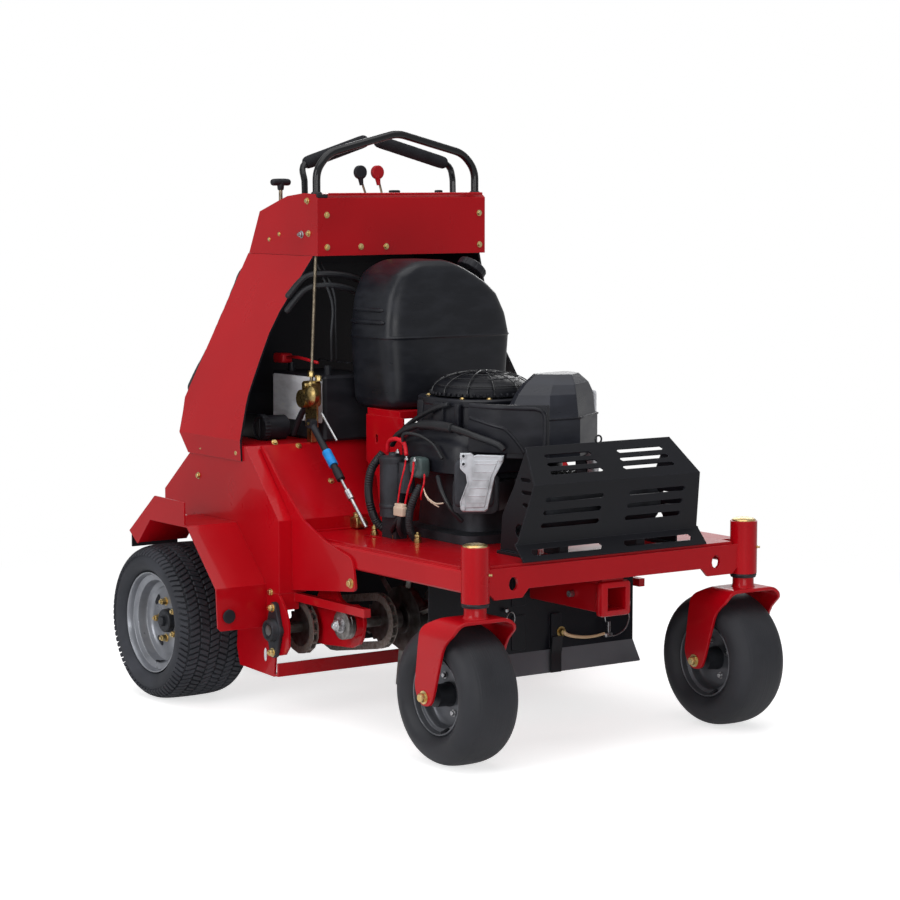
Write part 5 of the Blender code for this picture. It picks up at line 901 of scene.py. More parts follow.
for side, s in SIDES:
    body = "caster_" + side
    stem = np.array((s * CASTER_X, 0.0, 0.0))
    axle = stem + (0, CASTER_Y, CASTER_R)
    piece("fork_strap_" + side, body, moved(joined(FORK_STRAP, FORK_BOSS), stem), RED_PAINT,
          ("caster_fork_" + side,), 30)
    piece("fork_spindle_" + side, body, moved(FORK_SHAFTS, stem), WORN_STEEL)
    heads = joined(bolts([axle - (AXLE_HEAD, 0, 0)], -X, 0.0105, 1.45, 1.0),
                   bolts([axle + (AXLE_HEAD, 0, 0)], X, 0.0105, 1.45, 1.0, 0.4))
    piece("axle_bolts_" + side, body, heads, ZINC_GOLD)
    nipple = copies(NIPPLE, [stem + NIPPLE_OUT * STEM_TUBE_R + (0, 0, 0.4286)], NIPPLE_OUT,
                    size=0.0036)
    fixed("grease_nipple_" + side, nipple, ZINC_GOLD)
    fixed("stem_cap_" + side, turned(STEM_CAP, stem + (0, 0, 0.4902), Z, 40), ZINC_GOLD)
    fixed("stem_seal_" + side, turned(STEM_SEAL, stem + (0, 0, 0.3668), Z, 36), HOSE_RUBBER)


# Fuel tank: level sections, each a squared ellipse.

TANK_FRONT, TANK_BACK, TANK_SQUARE = 0.622, 0.822, 1 / 3.2
SHOULDER_Z, SHOULDER_RISE, SHOULDER_INSET = 1.046, 0.0376, 0.034
FOOT_Z, FOOT_RISE, FOOT_INSET = 0.752, 0.0232, 0.02
LINE_Z, LINE_RISE = 0.9, 0.0022
TANK_LEFT = np.array([(0.729, -0.16), (0.735, -0.17), (0.75, -0.1765), (0.898, -0.188),
                      (0.945, -0.1845), (0.998, -0.1755), (1.03, -0.1625), (1.051, -0.148),
                      (1.068, -0.123), (1.079, -0.1), (1.0835, -0.08)])
TANK_RIGHT = np.array([(0.729, 0.155), (0.735, 0.165), (0.75, 0.17), (0.902, 0.183), (0.95, 0.1735),
                       (0.999, 0.149), (1.025, 0.12), (1.047, 0.083), (1.068, 0.042),
                       (1.079, 0.015), (1.0835, 0.0)])


def tank_shape(levels):
    """At height z the section reaches from left(z) to right(z) and from front(z)
    to back(z); each point is the middle plus the half reach times the signed
    power of the cosine and sine. A moulded line stands out at LINE_Z."""
    z = levels
    left, right = np.interp(z, *TANK_LEFT.T), np.interp(z, *TANK_RIGHT.T)
    top, foot = np.clip([(z - SHOULDER_Z) / SHOULDER_RISE, (FOOT_Z - z) / FOOT_RISE], 0, 1)
    tuck = (SHOULDER_INSET * (1 - np.sqrt(1 - top ** 2 * 0.999))
            + FOOT_INSET * (1 - np.sqrt(1 - foot ** 2 * 0.999)))
    lean = 0.01 * np.clip((z - 0.903) / 0.15, 0, 1)
    line = LINE_RISE * np.exp(-((z - LINE_Z) / LINE_RISE) ** 2)
    front, back = TANK_FRONT + tuck + lean - line, TANK_BACK - tuck + line
    left, right = left - line, right + line
    a = angles(96)
    x = ((left + right) / 2)[:, None] + ((right - left) / 2)[:, None] * soft(np.cos(a), TANK_SQUARE)
    y = ((front + back) / 2)[:, None] + ((back - front) / 2)[:, None] * soft(np.sin(a), TANK_SQUARE)
    return lattice(np.stack([x, y, np.broadcast_to(z[:, None], x.shape)], -1))


TANK_LEVELS = np.unique(np.concatenate([
    np.linspace(0.729, 0.752, 8), np.linspace(0.752, 0.894, 8), np.linspace(0.894, 0.906, 9),
    np.linspace(0.906, 1.046, 16),
    1.0835 - 0.0375 * (1 - np.sin(np.linspace(0, 0.5, 14) * math.pi))]))
fixed("tank_moulding", tank_shape(TANK_LEVELS), TANK_PLASTIC, ("fuel_tank",), 40)


def side_bead(y0, y1, z, x, height):
    """A rounded bead pressed out of a moulding: a flat pipe with domed ends."""
    t = np.linspace(-1, 1, 21)
    path = np.column_stack([np.full(21, x), (y0 + y1) / 2 + (y1 - y0) / 2 * t, np.full(21, z)])
    return pipe(path, height * np.sqrt(1.0001 - np.abs(t) ** 6), 12)


beads = joined(side_bead(0.65, 0.8, 0.936, -0.184, 0.0068),
               side_bead(0.66, 0.79, 0.965, -0.18, 0.006))
fixed("tank_side_beads", beads, TANK_PLASTIC)

CAP_AT, CAP_LEAN, CAP_R = np.array((0.138, 0.752, 1.05)), np.array((0.6157, 0.0, 0.788)), 0.0366


def fluted_cap():
    """The cap turned about its leaning axis; the radius swells at sixteen
    flutes by the square root of |sin 8a|, less near the crown."""
    side, lift, out = basis(CAP_LEAN).T
    a = angles(128)
    ring = np.cos(a)[:, None] * side + np.sin(a)[:, None] * lift
    levels = ((0.0, 0.96, 0), (0.0015, 1.0, 1), (0.016, 1.0, 1), (0.019, 0.96, 0.5),
              (0.0212, 0.88, 0), (0.0219, 0.78, 0), (0.0205, 0.7, 0), (0.0205, 0.12, 0))
    flute = 0.0012 * np.sqrt(np.abs(np.sin(8 * a)))
    return lattice(np.stack([CAP_AT + z * out + ((CAP_R * k) + flute * f)[:, None] * ring
                             for z, k, f in levels]))


piece("filler_cap", "cap", fluted_cap(), BLACK_PLASTIC, ("fuel_cap",), 30)


# Engine screen: a dark dome under hoops.

SCREEN_AT, SCREEN_R, SCREEN_RISE = np.array((-0.055, 0.43, 0.7775)), 0.1225, 0.046
HOOP_R, HOOP_LIFT, HOOP_WIRE, RING_WIRE = SCREEN_R - 0.0015, 0.008, 0.0016, 0.0013
t = np.linspace(0, 0.5 * math.pi, 15)
dome = np.column_stack([0.006 + (SCREEN_RISE - 0.004) * np.sin(t),
                        (SCREEN_R - 0.006) * np.cos(t) + 0.0008])
dome = np.vstack([[(0.0, SCREEN_R - 0.003)], dome])
fixed("screen_dome", turned(dome, SCREEN_AT, Z, 72), BLACK_PAINT, ("fan_screen",), 40)


def wire_ring(centre, radius, wire, normal, sides=8, steps=36):
    """A ring of wire: a small circle turned round the ring's own axis."""
    b = angles(sides)
    return turned(np.column_stack([wire * np.cos(b), radius + wire * np.sin(b)]), centre, normal,
                  steps, closed=True)


u = np.linspace(0, 0.5 * math.pi - 0.1, 14)
hoops = [pipe(SCREEN_AT + np.outer(HOOP_R * np.cos(u), (math.cos(around), math.sin(around), 0.0))
              + np.outer(HOOP_LIFT + SCREEN_RISE * np.sin(u), Z), HOOP_WIRE, 6)
         for around in angles(12) + 0.13]
hoops += [wire_ring(SCREEN_AT + (0, 0, HOOP_LIFT + SCREEN_RISE * math.sin(height)),
                    HOOP_R * math.cos(height), RING_WIRE, Z, 6, 64)
          for height in (0.35, 0.75, 1.05, 1.3)]
hoops.append(turned([(0.0, 0.012), (0.004, 0.012), (0.0065, 0.009), (0.0066, 0.002)],
                    SCREEN_AT + (0, 0, SCREEN_RISE + 0.004), Z, 24))
fixed("screen_hoops", joined(*hoops), BAR_PAINT)
a = angles(48)
rim_places = SCREEN_AT + np.column_stack([(SCREEN_R - 0.001) * np.cos(a),
                                          (SCREEN_R - 0.001) * np.sin(a), 0 * a + 0.0045])
fixed("screen_teeth", copies(pillow((0.0042, 0.0022, 0.0036), 0.4, 6, 10), rim_places, Z),
      BLACK_PLASTIC)


# Console: bolts, pivot nuts, bar with feet, back strip.

CONSOLE_FRONT, CONSOLE_SIDE = 0.843, 0.25
front_bolts = [(-0.2227, 1.1908), (-0.222, 1.1129), (-0.124, 1.1131), (-0.0498, 1.1126),
               (0.232, 1.1922), (0.2334, 1.1132)]
front_places = [(x, CONSOLE_FRONT - 0.0002, z) for x, z in front_bolts]
fixed("console_front_bolts", bolts(front_places, -Y, 0.0058), ZINC_GOLD)
side_bolts = [(1.0667, 1.1282), (1.019, 1.1422), (0.8824, 1.1459), (0.888, 1.2248)]
for side, s in SIDES:
    places, out = in_plane(s * CONSOLE_SIDE, side_bolts), (s, 0, 0)
    screws = joined(bolts(places[:2], out, 0.0042, 1.3, 0.6),
                    bolts(places[2:], out, 0.0062, height=0.8))
    fixed("console_side_bolts_" + side, screws, ZINC_GOLD)
    pivot = (s * CONSOLE_SIDE, 0.9145, 1.1429)
    fixed("lever_pivot_nut_" + side, bolts([pivot], out, 0.0072, 1.3, 0.9, 0.5), STEEL)

BAR_FEET = [(-0.236, 0.868, 1.2405), (0.236, 0.868, 1.2405)]
BAR_RUN = [BAR_FEET[0], (-0.236, 0.868, 1.3), (-0.2, 0.868, 1.341), (0.0, 0.868, 1.39),
           (0.2, 0.868, 1.341), (0.236, 0.868, 1.3), BAR_FEET[1]]
fixed("hand_bar", pipe(bent(BAR_RUN, 0.024), 0.0098, 16), BAR_PAINT)
BAR_FOOT = turned([(0, 0.014), (0.003, 0.014), (0.005, 0.0122), (0.0065, 0.01)], ORIGIN, Z, 28)
fixed("hand_bar_feet", copies(BAR_FOOT, BAR_FEET, Z), HOSE_RUBBER)
fixed("console_back_strip", slab((-0.243, 0.243), (1.149, 1.155), (1.06, 1.1205), 0.0005),
      BLACK_PAINT)


# Grips: foam tubes over the hand levers, rounded at both ends.

for side, s in SIDES:
    corner, end = np.array((s * 0.224, 0.958, 1.312)), np.array((s * 0.013, 0.985, 1.374))
    start = corner + unit(end - corner) * 0.012
    t = np.linspace(0, 1, 60)
    taper, groove = (2 * np.abs(t - 0.5)) ** 24 * 0.45, np.cos(TAU * 14 * t) > 0.86
    girth = 0.0162 * (1 - taper) - 0.0004 * groove
    piece("grip_foam_" + side, "hand_lever_" + side,
          pipe(start + t[:, None] * (end - start), girth, 20), GRIP_FOAM, ("grip_" + side,), 40)


# Knobs: paddles with a wide neck on thin stems; a thick T grip on the pull.

PADDLE_DISC = turned([(0.0, 0.015), (0.0015, 0.0172), (0.0105, 0.0172), (0.012, 0.015)], ORIGIN, Z,
                     28)
PADDLE_NECK = np.array([(0, -0.0005, -0.01), (0.0008, -0.001, -0.018), (0.0018, -0.0015, -0.026),
                        (0.0026, -0.002, -0.032)])
for name, finish in (("throttle", BLACK_PLASTIC), ("choke", RED_PLASTIC)):
    low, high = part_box(name + "_lever")
    crown = np.array(((low[0] + high[0]) / 2, high[1] - STEM_Y - 0.0065, high[2] - 0.0152))
    neck = pipe(crown + PADDLE_NECK, [0.0092, 0.0066, 0.0056, 0.005], 16)
    piece(name + "_paddle", name, joined(copies(PADDLE_DISC, [crown - (0, 0.006, 0)], Y), neck),
          finish)

T_AT = np.array((-0.225, 1.052, 1.27))
t = np.linspace(-1, 1, 25)
t_bar = pipe(T_AT + np.outer(t * 0.0285, X) + np.outer(-0.0012 * t ** 2, Z),
             0.0088 * (1.0002 - np.abs(t) ** 9) ** 0.5, 18)
t_boss = turned([(-0.02, 0.007), (-0.017, 0.008), (-0.005, 0.0092), (0.0, 0.0088)], T_AT, Z, 24)
piece("pull_grip", "pull", joined(t_bar, t_boss), BLACK_PLASTIC, ("pull_handle",))
t_stem = turned([(-0.12, 0.004), (-0.119, 0.0048), (-0.015, 0.0048), (-0.014, 0.004)], T_AT, Z, 20)
piece("pull_stem", "pull", t_stem, DULL_ROD)
plugs = joined(block((0.0032, 0.885, 1.246), (0.014, 0.008, 0.0042), power=0.4),
               block((0.1368, 0.885, 1.246), (0.0095, 0.0075, 0.004), power=0.5),
               block((-0.234, 0.846, 1.237), (0.015, 0.0036, 0.0042), power=0.2))
fixed("console_plugs", plugs, BLACK_PLASTIC)
fixed("console_lip", rod((-0.215, 0.8452, 1.2412), (0.242, 0.8452, 1.2412), 0.003), RED_PAINT)


# Engine shroud: stepped housing round the fan well, side panel with raised
# borders, hoses over its shoulder.

ENGINE_AT = np.array((-0.055, 0.43, 0.0))


def squared_ring(half_x, half_y, z, power):
    """Level ring round the crank: half side times the signed power of cos, sin."""
    a = angles(72)
    return ENGINE_AT + np.column_stack([half_x * soft(np.cos(a), power),
                                        half_y * soft(np.sin(a), power), np.full(72, z)])


SHROUD_LEVELS = [(0.16, 0.14, 0.6035, 0.42), (0.163, 0.1425, 0.606, 0.4),
                 (0.163, 0.1425, 0.664, 0.4),
                 (0.16, 0.1405, 0.672, 0.42), (0.148, 0.138, 0.688, 0.5),
                 (0.136, 0.137, 0.699, 0.6),
                 (0.1325, 0.136, 0.703, 0.62), (0.131, 0.135, 0.756, 0.62),
                 (0.1325, 0.136, 0.758, 0.62),
                 (0.1325, 0.136, 0.77, 0.62), (0.13, 0.1335, 0.7735, 0.64),
                 (0.114, 0.114, 0.7735, 1.0), (0.114, 0.114, 0.7105, 1.0)]
fixed("engine_shroud", lattice(np.stack([squared_ring(*level) for level in SHROUD_LEVELS])),
      HOUSING_PLASTIC, ("blower_housing",), 30)

PANEL_LINE = np.array([(-0.197, 0.288), (-0.188, 0.252), (-0.1765, 0.222), (-0.164, 0.201),
                       (-0.12, 0.16), (-0.089, 0.133)])
inner_line = PANEL_LINE + (0.0085, 0.0085)
PANEL = prism(np.vstack([PANEL_LINE, [(-0.079, 0.1385)], inner_line[::-1][1:]]),
              [(0.661, 0.985), (0.6625, 1.0), (0.769, 1.0), (0.771, 0.99)])


def on_panel(places):
    """Places (share along the panel line, z) as points on the panel's face."""
    share, z = np.asarray(places, float).T
    run = np.append(0, np.cumsum(np.linalg.norm(np.diff(PANEL_LINE, axis=0), axis=1)))
    x, y = (np.interp(share * run[-1], run, column) for column in PANEL_LINE.T)
    return np.column_stack([x, y, z])


border = on_panel(np.vstack([[(0.02, 0.7665)],
                             [(k, 0.7665 - 0.004 * k) for k in np.linspace(0.1, 0.86, 9)],
                             [(0.93, 0.759), (0.965, 0.752), (0.972, 0.74), (0.972, 0.7),
                              (0.972, 0.664)]]))
inset = on_panel([(0.02, 0.738), (0.15, 0.733), (0.3, 0.7265), (0.42, 0.7215), (0.5, 0.717),
                  (0.57, 0.706), (0.66, 0.686), (0.74, 0.664)])
fixed("shroud_panel", joined(PANEL, pipe(border, 0.0042, 8), pipe(spline(inset, 40), 0.0036, 8)),
      HOUSING_PLASTIC)
RIB_Z, RIB_RISE = 0.7345, 0.03
ribs = [block((x, y, RIB_Z), (half_x, half_y, RIB_RISE), power=0.25) for x, y, half_x, half_y in (
    (-0.1872, 0.418, 0.006, 0.02), (-0.1862, 0.345, 0.005, 0.0075), (-0.18, 0.5, 0.006, 0.012),
    (0.077, 0.43, 0.005, 0.025), (-0.055, 0.5665, 0.04, 0.004))]
fixed("shroud_ribs", joined(*ribs), HOUSING_PLASTIC)
rim_bolts = [ENGINE_AT + (0.1255 * math.cos(b), 0.128 * math.sin(b), 0.7738)
             for b in (2.5, 3.7, 4.2, 5.4, 0.8)]
fixed("shroud_bolts", bolts(rim_bolts, Z, 0.0046, 1.5, 0.6), ZINC_GOLD)


def corrugated(points, radius, count=90, pitch=0.0055):
    """A hose whose radius swells a little with each ring along its length."""
    path = spline(points, count)
    run = np.append(0, np.cumsum(np.linalg.norm(np.diff(path, axis=0), axis=1)))
    return pipe(path, radius * (1 + 0.085 * np.cos(TAU * run / pitch)), 12)


over_hose = [(-0.236, 0.545, 0.655), (-0.234, 0.52, 0.682), (-0.23, 0.47, 0.704),
             (-0.226, 0.412, 0.7135), (-0.223, 0.33, 0.714), (-0.214, 0.285, 0.707),
             (-0.201, 0.238, 0.696), (-0.179, 0.2, 0.683), (-0.17, 0.186, 0.67)]
HOSES = [hose(over_hose, 0.0078, 60, 12),
         hose([(-0.2285, 0.435, 0.7105), (-0.2265, 0.4, 0.714), (-0.224, 0.345, 0.7142),
               (-0.2215, 0.315, 0.7125)], 0.0118, 24, 14),
         hose([(-0.214, 0.56, 0.668), (-0.213, 0.53, 0.692), (-0.209, 0.48, 0.722),
               (-0.202, 0.42, 0.748), (-0.194, 0.372, 0.762)], 0.0058, 40, 10),
         corrugated([(-0.262, 0.385, 0.578), (-0.276, 0.392, 0.548), (-0.28, 0.405, 0.51),
                     (-0.27, 0.418, 0.472), (-0.252, 0.424, 0.45)], 0.0088),
         corrugated([(-0.262, 0.54, 0.64), (-0.285, 0.556, 0.6), (-0.29, 0.56, 0.54),
                     (-0.278, 0.548, 0.48), (-0.25, 0.53, 0.452)], 0.01)]
fixed("engine_hoses", joined(*HOSES), HOSE_RUBBER)

# Starter: green-grey solenoid, its heavy red lead and thin wires.

solenoid = joined(block((-0.24, 0.423, 0.615), (0.0165, 0.025, 0.0245), power=0.45),
                  turned([(0, 0.0135), (0.01, 0.0135), (0.012, 0.0115), (0.0125, 0.004)],
                         (-0.25, 0.423, 0.616), -X, 20))
fixed("solenoid", solenoid, SOLENOID_GREY)
starter_end = joined(turned([(0, 0.0345), (0.003, 0.0355), (0.012, 0.0355), (0.016, 0.03),
                             (0.018, 0.014),
                             (0.024, 0.012), (0.025, 0.004)], (-0.258, 0.5, 0.62), Z, 36),
                     turned([(0, 0.0345), (0.002, 0.0355), (0.008, 0.0355), (0.01, 0.0345)],
                            (-0.258, 0.5, 0.515), Z, 36))
fixed("starter_caps", starter_end, CAST_IRON)
studs = bolts([(-0.264, 0.44, 0.632), (-0.264, 0.407, 0.632), (-0.262, 0.48, 0.6445)], Z, 0.0048,
              1.4, 0.9, 0.8)
fixed("starter_studs", studs, STEEL)
RED_LEADS = [hose([(-0.25, 0.54, 0.64), (-0.256, 0.526, 0.666), (-0.258, 0.495, 0.676),
                   (-0.256, 0.462, 0.668), (-0.262, 0.444, 0.642)], 0.005, 40),
             hose([(-0.266, 0.44, 0.633), (-0.284, 0.42, 0.615), (-0.287, 0.432, 0.575),
                   (-0.288, 0.441, 0.532)], 0.002),
             hose([(-0.266, 0.407, 0.633), (-0.279, 0.395, 0.6), (-0.284, 0.404, 0.568),
                   (-0.282, 0.42, 0.531)], 0.0026),
             hose([(-0.262, 0.37, 0.605), (-0.272, 0.358, 0.585), (-0.27, 0.372, 0.56),
                   (-0.262, 0.384, 0.545)], 0.0022)]
fixed("red_leads", joined(*RED_LEADS), RED_WIRE)
PALE_LEADS = [hose([(-0.262, 0.376, 0.575), (-0.272, 0.345, 0.556), (-0.27, 0.315, 0.544),
                    (-0.258, 0.3, 0.545)], 0.0018),
              hose([(-0.262, 0.37, 0.562), (-0.27, 0.34, 0.548), (-0.262, 0.312, 0.535)], 0.0016)]
fixed("pale_leads", joined(*PALE_LEADS), BEIGE_PLASTIC)
plug = joined(block((-0.288, 0.43, 0.515), (0.0085, 0.019, 0.011), power=0.2),
              block((-0.288, 0.43, 0.529), (0.007, 0.016, 0.004), power=0.2))
fixed("lead_plug", plug, BEIGE_PLASTIC)
DARK_LEADS = [hose([(-0.25, 0.47, 0.655), (-0.262, 0.455, 0.69), (-0.246, 0.42, 0.69),
                    (-0.228, 0.385, 0.672), (-0.226, 0.35, 0.64)], 0.004, 40),
              hose([(-0.288, 0.43, 0.505), (-0.288, 0.436, 0.478), (-0.27, 0.45, 0.453)], 0.0062),
              hose([(-0.28, 0.446, 0.5), (-0.282, 0.47, 0.472), (-0.262, 0.5, 0.453)], 0.005),
              hose([(-0.232, 0.36, 0.6), (-0.242, 0.33, 0.57), (-0.236, 0.3, 0.53),
                    (-0.212, 0.29, 0.5)], 0.0055)]
fixed("dark_leads", joined(*DARK_LEADS), HOSE_RUBBER)

# Cylinders: fins, head and die-cast rocker cover, leaning out of the crankcase.

COVER_LINE = np.array([(-0.0305, 0.6641), (-0.0061, 0.6644), (0.0012, 0.6583), (0.0079, 0.6606),
                       (0.0693, 0.6594), (0.0666, 0.6453), (0.0487, 0.6118), (0.0318, 0.5361),
                       (0.0262, 0.5315), (-0.0236, 0.5309), (-0.0297, 0.54), (-0.0304, 0.5513),
                       (-0.0259, 0.5628), (-0.0135, 0.597), (-0.0169, 0.6173), (-0.0304, 0.6308)])
FIELD_LINE = np.array([(0.002, 0.65), (0.056, 0.649), (0.04, 0.612), (0.025, 0.542), (-0.017, 0.54),
                       (-0.018, 0.56), (-0.004, 0.598), (-0.003, 0.625)])
FLAT_TURN, COVER_OUT, COVER_GAUGE = math.radians(40), 0.275, 0.012
BOSS_AT = np.array([(-0.0225, 0.6581), (-0.0225, 0.64), (-0.0235, 0.5395), (0.061, 0.652)])
BOSS = turned([(0, 1.0), (0.5, 1.0), (0.62, 0.86)], ORIGIN, Z, 18)
HOLE = turned([(0, 1.0), (0.1, 1.0)], ORIGIN, Z, 16)
ROWS = ((0.64, 0.004, 0.05), (0.622, 0.0, 0.04), (0.604, 0.0, 0.034), (0.586, -0.006, 0.03),
        (0.568, -0.012, 0.026), (0.553, -0.014, 0.024))
CORE_Z = 0.562

for side, s in SIDES:
    out = np.array((s * math.sin(FLAT_TURN), -math.cos(FLAT_TURN), 0.0))
    across, flip = basis(out)[:, 0], (-s, 1.0)
    face = ENGINE_AT + out * COVER_OUT
    on_face = lambda places: face + places[:, :1] * across + places[:, 1:] * Z
    cover = copies(plate(COVER_LINE * flip, COVER_GAUGE, 0.0018), [face - out * COVER_GAUGE], out)
    field = copies(plate(FIELD_LINE * flip, 0.0022, 0.0012), [face - out * 0.0003], out)
    bosses = on_face(BOSS_AT * flip)
    rim = on_face(np.vstack([COVER_LINE, COVER_LINE[:1]]) * flip)
    welt = pipe(rim.mean(0) + (rim - rim.mean(0)) * 0.955, 0.0016, 8)
    rows = [rod(*(face + out * 0.002 - across * (s * u) + Z * z for u in ends), 0.0011, 9, 6)
            for z, *ends in ROWS]
    fixed("rocker_cover_" + side,
          joined(cover, field, copies(BOSS, bosses, out, size=0.006), welt, *rows), ALUMINIUM,
          ("cylinder_" + side,), 30)
    # Painted shade: black discs on the two upper bosses stand for bolt holes, dark inside.
    holes = copies(HOLE, bosses[:2] + out * 0.0036, out, size=0.0034)
    fixed("cover_holes_" + side, holes, BLACK_PLASTIC)
    head = block(face - out * 0.028 + (0, 0, 0.594), (0.046, 0.056, 0.0155), out)
    fins = [block(ENGINE_AT + out * (0.15 + 0.0125 * k) + (0, 0, CORE_Z), (0.052, 0.042, 0.0026),
                  out, rows=6, columns=20) for k in range(7)]
    core = block(ENGINE_AT + out * 0.18 + (0, 0, CORE_Z), (0.04, 0.034, 0.055), out, power=0.5)
    fixed("cylinder_fins_" + side, joined(head, *fins, core), CAST_IRON)

# Air cleaner: a lip round the parting line and a latch.

CLEANER_PLAN = np.array([(-0.15, 0.205), (-0.075, 0.142), (0.012, 0.142), (0.125, 0.222),
                         (0.125, 0.28), (0.08, 0.286), (-0.01, 0.262), (-0.12, 0.262)])
CLEANER_LEVELS = [
    (0.649, CLEANER_PLAN), (0.735, CLEANER_PLAN),
    (0.74, [(-0.146, 0.208), (-0.073, 0.146), (0.01, 0.146), (0.12, 0.224),
            (0.121, 0.279), (0.078, 0.284), (-0.01, 0.262), (-0.117, 0.26)]),
    (0.79, [(-0.105, 0.222), (-0.055, 0.168), (0.008, 0.152), (0.112, 0.224),
            (0.113, 0.277), (0.075, 0.283), (-0.01, 0.262), (-0.085, 0.26)]),
    (0.812, [(-0.08, 0.228), (-0.035, 0.185), (0.01, 0.16), (0.098, 0.222),
             (0.1, 0.275), (0.07, 0.281), (-0.01, 0.262), (-0.065, 0.258)]),
    (0.834, [(-0.045, 0.235), (-0.01, 0.2), (0.02, 0.185), (0.07, 0.225),
             (0.075, 0.27), (0.055, 0.276), (-0.01, 0.262), (-0.035, 0.256)])]
cleaner = lattice(np.stack([np.column_stack([plan, np.full(8, z)]) for z, plan in CLEANER_LEVELS]))
intake = block((-0.055, 0.2448, 0.667), (0.055, 0.0448, 0.02), power=0.12)
cover = fixed("cleaner_cover", joined(cleaner, intake), CLEANER_PLASTIC, ("air_cleaner",), 9)
roll = cover.modifiers.new("roll", "BEVEL")
roll.width, roll.segments, roll.limit_method, roll.angle_limit = 0.0035, 2, "ANGLE", math.radians(9)
lip_path = np.column_stack([CLEANER_PLAN, np.full(8, 0.7372)])
lip_path = np.vstack([lip_path, lip_path[:1]])
fine = np.vstack([a + (b - a) * np.linspace(0, 1, 6)[:-1, None]
                  for a, b in zip(lip_path, lip_path[1:])])
fixed("cleaner_lip", pipe(np.vstack([fine, fine[:1]]), 0.0026, 8), HOUSING_PLASTIC)
latch = joined(block((0.1285, 0.246, 0.757), (0.0035, 0.0125, 0.032)),
               block((0.13, 0.246, 0.724), (0.0045, 0.009, 0.008)))
fixed("cleaner_latch", latch, LABEL_GREY)

# Lifting eye on the engine.

ring = arc_points((-0.0315, 0.701), 0.0085, 0, 360, 25)
eye = pipe(np.column_stack([ring[:, 0], np.full(25, 0.02), ring[:, 1]]), 0.0022, 8)
fixed("lifting_eye", eye, BAR_PAINT)

# Deck: grease fittings in a row, brass manifold with its tube.

FITTING = turned([(0, 1.0), (0.9, 1.0), (0.95, 0.72), (1.3, 0.7), (1.5, 0.92), (2.0, 0.88),
                  (2.3, 0.45), (2.6, 0.4)], ORIGIN, Z, 12)
deck_row = [(side * x, y, 0.4437) for side in (-1, 1)
            for x, y in ((0.2681, 0.5688), (0.2642, 0.4855), (0.2596, 0.4014))]
fixed("deck_fittings", copies(FITTING, deck_row, Z, size=0.0092), BRASS)
manifold = joined(block((-0.24, 0.69, 0.4585), (0.015, 0.024, 0.0135), power=0.2),
                  bolts([(-0.24, 0.665, 0.459)], -Y, 0.0095, 1.1, 1.4),
                  bolts([(-0.24, 0.69, 0.4715)], Z, 0.008, 1.1, 1.2),
                  hose([(-0.24, 0.712, 0.46), (-0.236, 0.74, 0.462), (-0.222, 0.775, 0.46),
                        (-0.2, 0.8, 0.455)], 0.0052))
fixed("deck_manifold", manifold, BRASS)

# Battery: bare label, terminal boot, lead and cap strip.

LABEL = plate(rounded_plan(0.108, 0.049, 0.006, 5), 0.0008, 0.0003)
fixed("battery_label", copies(LABEL, [(-0.24, 0.954, 0.74)], -X), LABEL_GREY)
boot = joined(block((-0.222, 1.052, 0.833), (0.0165, 0.024, 0.0125), power=0.35),
              hose([(-0.222, 1.034, 0.835), (-0.226, 0.99, 0.838), (-0.224, 0.95, 0.836),
                    (-0.21, 0.905, 0.8275)], 0.004))
fixed("terminal_boot", boot, RED_PLASTIC)
CELL_CAP = turned([(0, 1.0), (0.25, 1.0), (0.32, 0.85)], ORIGIN, Z, 18)
caps = copies(CELL_CAP, [(-0.12, y, 0.8234) for y in (0.862, 0.904, 0.946, 0.988, 1.03)], Z,
              size=0.0105)
fixed("battery_caps", joined(caps, block((-0.095, 0.9, 0.8275), (0.008, 0.01, 0.006))),
      BLACK_PLASTIC)

# Hydraulic filter: knurled end with a slot.

FILTER_Y, FILTER_Z, KNOB_R, KNURL, KNURLS = 0.957, 0.6703, 0.0335, 0.0009, 24
a = angles(96)
knurl = KNOB_R + KNURL * np.cos(KNURLS * a)
rings = [np.column_stack([np.full(96, x), FILTER_Y + knurl * k * np.cos(a),
                          FILTER_Z + knurl * k * np.sin(a)])
         for x, k in ((-0.333, 0.9), (-0.335, 1.0), (-0.348, 1.0), (-0.35, 0.94), (-0.3505, 0.8),
                      (-0.348, 0.74), (-0.348, 0.05))]
slot_bar = block((-0.349, FILTER_Y, FILTER_Z), (0.002, 0.0024, 0.0225))
fixed("filter_knob", joined(lattice(np.stack(rings)), slot_bar), BLACK_PLASTIC)
fixed("bay_filler", block((-0.33, 1.045, 0.67), (0.002, 0.053, 0.03), power=0.12), BLACK_PAINT)

# Platform: rubber mat with raised studs, every second row shifted.

MAT_Z, MAT_HALF, MAT_FRONT, MAT_BACK, MAT_RISE = 0.1582, 0.205, 1.285, 1.608, 0.0016
STUDS_ACROSS, STUDS_ALONG, STUD_SHIFT = 15, 12, 0.0066
mat = block((0, (MAT_FRONT + MAT_BACK) / 2, MAT_Z + MAT_RISE),
            (MAT_HALF, (MAT_BACK - MAT_FRONT) / 2, MAT_RISE), power=0.08, columns=40)
stud_x, stud_y = np.meshgrid(np.linspace(-0.185, 0.185, STUDS_ACROSS),
                             np.linspace(1.305, 1.588, STUDS_ALONG))
stud_x += STUD_SHIFT * (np.arange(STUDS_ALONG)[:, None] % 2 * 2 - 1)
studs = np.column_stack([stud_x.ravel(), stud_y.ravel(), np.full(stud_x.size, MAT_Z + 0.003)])
stud = turned([(0.0, 0.0078), (0.0016, 0.007), (0.0022, 0.005)], ORIGIN, Z, 12)
piece("platform_mat", "step", joined(mat, copies(stud, studs, Z)), HOSE_RUBBER)

# Hydraulic valve: second rod, blue band on the link, clevis pins.

